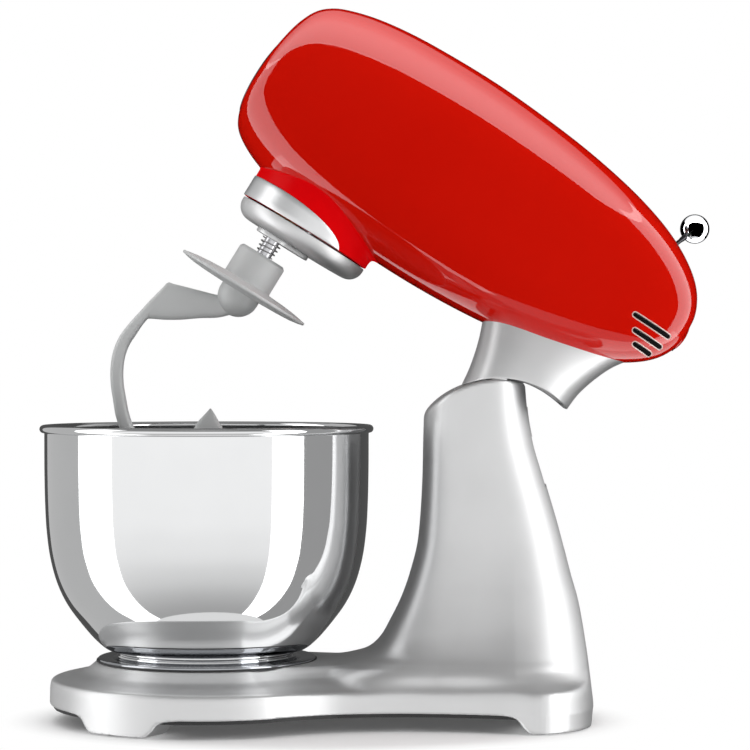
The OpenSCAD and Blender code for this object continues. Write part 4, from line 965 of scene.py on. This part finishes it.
def make_hook():
    rings = []
    t = around(40)
    for *edges, thick in through(HOOK, 190):
        a, b = np.array(edges[:2]), np.array(edges[2:])
        p = (a + b) / 2 + (b - a) / 2 * boxy(np.cos(t), 0.7)[:, None]
        y = thick * boxy(np.sin(t), 0.75)
        rings.append(np.stack([TOOL_X + p[:, 0], TOOL_Y + y, HUB_Z - p[:, 1]], 1))
    dome = [(0, -28.5), (14, -28.5), (14, -31), *arc(0, -31.6, 14, 0, -90, 18)[:-1], (0, -45.6)]
    hub = [(5.06, -24), (5.06, -0.5), (5.5, 0), (15, 0), (15.5, -0.2), (16.8, -1.6), (17, -2.2),
           (17, -20.4), (17.5, -21), (28, -21.6), (37, -22.5), (43, -23.5), (45.2, -24),
           *arc(45.7, -25.1, 1.3, 50, -50, 7), (45.2, -26.3), (43, -26.9), (37, -27.8), (28, -28.4),
           (14.6, -28.8), (5.06, -28.8)]
    dome, hub = (revolve([(r, HUB_Z + z) for r, z in outline], TOOL_X, TOOL_Y, steps)
                 for outline, steps in ((dome, 96), (hub, 160)))
    piece("hook", merge(loft(rings), dome), "hook", "grey_coating", ["dough_hook"], sharp=60)
    piece("hook_top", hub, "hook", "grey_coating", ["hook_hub"], sharp=38)


# ---- speed lever

def leaning(shape, tilt, swing):
    """Leans an upright shape back, then swings it about the lever's axis to where it stands."""
    (x, y, z), faces = np.transpose(shape[0]), shape[1]
    x, z = x * cos(tilt) + z * sin(tilt), z * cos(tilt) - x * sin(tilt)
    y, z = y * cos(swing) - z * sin(swing), y * sin(swing) + z * cos(swing)
    return np.stack([LEVER_X + x, y, LEVER_Z + z], 1), faces


def make_lever():
    swing = radians(-LEVER_SWING)
    tall, lean, r = 84.0, 28.5, 10.0
    v, f = revolve([(0, -r), *arc(0, 0, r, -90, 90, 41)[1:-1], (0, r)], steps=80)
    ball = leaning((v + [lean, 0, tall], f), 0, swing)
    piece("lever_ball", ball, "lever", "chrome", ["lever_knob"])
    profile = [(0, 11), (1.9, 11), (1.6, 40), (1.45, 62), (1.45, 74), (1.8, 76.5), (2, 80), (0, 80)]
    rod = leaning(revolve(profile, steps=48), atan2(lean, tall), swing)
    # the chrome rod is drawn nearly black: painted dark reflection
    piece("lever_rod", rod, "lever", "chrome", ["lever_stem"], look="chrome_painted_dark")


# ---- stage

def bare_material(name):
    """A material with nothing but its output, and where its surface goes in."""
    mat = bpy.data.materials.new(name)
    mat.use_nodes = True
    mat.node_tree.nodes.clear()
    out = mat.node_tree.nodes.new("ShaderNodeOutputMaterial")
    return mat, mat.node_tree, out.inputs["Surface"]


def seen_by(tree, *rays):
    """1 for rays of the named kinds."""
    path = tree.nodes.new("ShaderNodeLightPath").outputs
    seen = path[rays[0]]
    for ray in rays[1:]:
        seen = shade(tree, "Math", {0: seen, 1: path[ray]}, operation="MAXIMUM")
    return seen


def floor_material():
    """Pale and matt; the camera sees plain white beyond the object's own soft shadow."""
    mat, tree, out = bare_material("floor")
    diffuse = shade(tree, "BsdfDiffuse", {"Color": (0.9, 0.9, 0.9, 1)})
    lit = shade(tree, "AddShader", {0: diffuse, 1: shade(tree, "Emission", {"Strength": 0.06})})
    white = shade(tree, "Emission", {"Strength": 1.0})
    oval = shade(tree, "Mapping", {"Vector": shade(tree, "TexCoord", output="Object"),
                                   "Location": (0.036, 0, 0), "Scale": (1, 1.35, 1)})
    away = shade(tree, "VectorMath", {0: oval}, "Value", operation="LENGTH")
    far = shade(tree, "MapRange", {"Value": away, "From Min": 0.165, "From Max": 0.215},
                interpolation_type="SMOOTHSTEP")
    near = shade(tree, "MixShader", {0: far, 1: lit, 2: white})
    seen = seen_by(tree, "Is Camera Ray", "Is Glossy Ray")
    tree.links.new(shade(tree, "MixShader", {0: seen, 1: diffuse, 2: near}), out)
    return mat


# Lamps and cards that light one group of pieces, with the group's name
LINKED = []
CARD_FOOT, CARD_TOP = -5.0, 3.6


def card(name, corners, tones, along, enamel=False):
    """Studio card that only mirrors see, with one tone, or (place, tone) pairs along one axis.

    The painted head has cards of its own, which let the others' cards through."""
    mat, tree, out = bare_material(name)
    strength = tones
    if isinstance(tones, list):
        first, last = tones[0][0], tones[-1][0]
        top = max(tone for _place, tone in tones)
        place = shade(tree, "SeparateXYZ", {0: shade(tree, "TexCoord", output="Object")}, along)
        curve = shade(tree, "FloatCurve", {
            "Value": shade(tree, "MapRange", {"Value": place, "From Min": first, "From Max": last})})
        points = curve.node.mapping.curves[0].points
        while len(points) < len(tones):
            points.new(0.5, 0.5)
        for point, (place, tone) in zip(points, tones):
            point.location = ((place - first) / (last - first), tone / top)
        curve.node.mapping.update()
        strength = shade(tree, "Math", {0: curve, 1: top}, operation="MULTIPLY")
    light = shade(tree, "Emission", {"Strength": strength})
    if enamel:
        light = shade(tree, "AddShader", {0: light, 1: shade(tree, "BsdfTransparent")})
    tree.links.new(light, out)
    n = len(corners) // 2
    obj = new_object(name, corners, [(i, i + 1, n + i + 1, n + i) for i in range(n - 1)], mat)
    for ray in ("camera", "diffuse", "transmission", "shadow", "volume_scatter"):
        setattr(obj, "visible_" + ray, False)
    LINKED.append((obj, "cards_for_enamel" if enamel else "cards_for_metal"))


def polar(azimuth, distance, z):
    """A place round the object; azimuth 0 is the camera's side and 90 is +X."""
    a = radians(azimuth)
    return (distance * sin(a), -distance * cos(a), z)


def ceiling(name, half_x, y0, y1, z, tones, enamel=False):
    """Level card, with its tones along Y."""
    card(name, [(x, y, z) for y in (y0, y1) for x in (-half_x, half_x)], tones, 1, enamel)


def wall(name, a0, a1, tones, enamel=False):
    """Card bent round the object between two azimuths."""
    distance, top = (2.4, 2.2) if enamel else (2.6, CARD_TOP)
    turns = np.linspace(a0, a1, max(2, int(abs(a1 - a0) / 4) + 1))
    card(name, [polar(a, distance, z) for z in (CARD_FOOT, top) for a in turns], tones, 2, enamel)


AIM = Vector((0, 0, 0.25))


def lamp(name, place, size, gloss, matt=0.0):
    """Soft box: how bright its face looks to the matt metals' gloss, and to all that scatters light."""
    for glossy, strength in ((False, matt), (True, gloss)):
        if not strength:
            continue
        data = bpy.data.lights.new(name + "_gloss" * glossy, "AREA")
        data.shape = "RECTANGLE"
        data.size, data.size_y = size
        data.energy = strength * pi * size[0] * size[1]
        obj = bpy.data.objects.new(data.name, data)
        bpy.context.collection.objects.link(obj)
        obj.visible_diffuse, obj.visible_glossy = not glossy, glossy
        obj.location = place
        obj.rotation_euler = (AIM - Vector(place)).to_track_quat("-Z", "Y").to_euler()
        if glossy:
            LINKED.append((obj, "lamps_for_matt_metal"))


def share_cards():
    """Gives the painted head and lever their own cards, and the matt metals the glossy lamps."""
    metal, enamel, _matt = groups = [bpy.data.collections.new(name) for name in (
        "cards_for_metal", "cards_for_enamel", "lamps_for_matt_metal")]
    for group, names in zip(groups, (ENAMEL_SIDE, ENAMEL_SIDE, MATT_SIDE)):
        for name in names:
            group.objects.link(bpy.data.objects[name])
    for obj in enamel.objects:
        obj.visible_glossy = False
    for item in metal.collection_objects:
        item.light_linking.link_state = "EXCLUDE"
    for obj, group in LINKED:
        obj.light_linking.receiver_collection = bpy.data.collections[group]


def make_stage():
    corners = [(-6, -6, 0), (6, -6, 0), (6, 6, 0), (-6, 6, 0)]
    floor = new_object("floor", corners, [(0, 1, 2, 3)], floor_material())
    floor.visible_glossy = False
    world = bpy.data.worlds.new("world")
    bpy.context.scene.world = world
    world.use_nodes = True
    tree = world.node_tree
    back, white = (shade(tree, "Background", {"Color": (1, 1, 1, 1), "Strength": level})
                   for level in (0.45, 1.0))
    seen = seen_by(tree, "Is Camera Ray", "Is Glossy Ray", "Is Transmission Ray")
    tree.links.new(shade(tree, "MixShader", {0: seen, 1: back, 2: white}),
                   tree.nodes["World Output"].inputs["Surface"])

    lamp("box_right", polar(60, 2.3, 0.75), (1.3, 1.5), 0.5, 1.6)
    lamp("box_edge", polar(86, 2.3, 0.75), (1.5, 1.6), 1.5)
    lamp("box_rear", polar(128, 2.3, 0.75), (1.5, 1.6), 0.6)
    lamp("box_left", polar(-91, 2.2, 0.75), (1.0, 1.5), 1.0, 1.3)
    lamp("box_top", (0.1, 0.3, 2.2), (2.6, 2.4), 0.5, 1.6)
    fade = [(CARD_FOOT, 0.5), (-3, 0.6), (-1.4, 0.9), (-0.5, 1.15), (0.2, 1.25), (0.7, 1.1), (1.2, 0.7),
            (1.8, 0.4), (CARD_TOP, 0.25)]
    for name, a0, a1, tones in (
            ("card_front", -66, 47.5, fade), ("card_left", -96, -66, 2.4), ("card_right", 47.5, 73, 3.4),
            ("card_side", 73, 101, 0.42), ("card_far", 101, 120, 0.6), ("card_back", 120, 214, 0.09),
            ("card_dim", -146, -96, 0.6)):
        wall(name, a0, a1, tones)
    wall("enamel_left", -106, -58, 3.6, True)
    wall("enamel_right", 74, 114, 3.9, True)
    ceiling("card_top", 2, -1.4, 4.2, 2.3, 0.3)
    falling = [(-1.2, 5), (-0.6, 5.2), (0, 4.4), (0.7, 2.2), (1.6, 0.9), (4.2, 0.4)]
    ceiling("enamel_top", 3.4, -1.4, 4.2, 2.2, falling, True)
    ceiling("enamel_floor", 2, -0.15, 2, -1, 1.6, True)


# ---- everything together

# What sees the enamel's cards, and what the glossy lamps light
ENAMEL_SIDE = ("head_body", "collar", "tail_cap", "vent_rims_painted_highlight", "lever_lips", "lever_ball")
MATT_SIDE = ("stand_body", "neck_casting", "planetary_disc", "hook", "hook_top")

for make in (add_camera, make_stage, make_head, make_band, make_head_trim, make_neck, make_stand,
             make_base_trim, make_button_spring, make_bowl, make_planetary, make_spring, make_hook,
             make_lever, share_cards):
    make()

for part in frame["record"]["subparts"]:
    node = frame["nodes"][part["node"]]
    node.data.materials.clear()
    node.data.materials.append(MATERIALS[part["material_slot"]])

bpy.context.scene.view_settings.view_transform = "Standard"
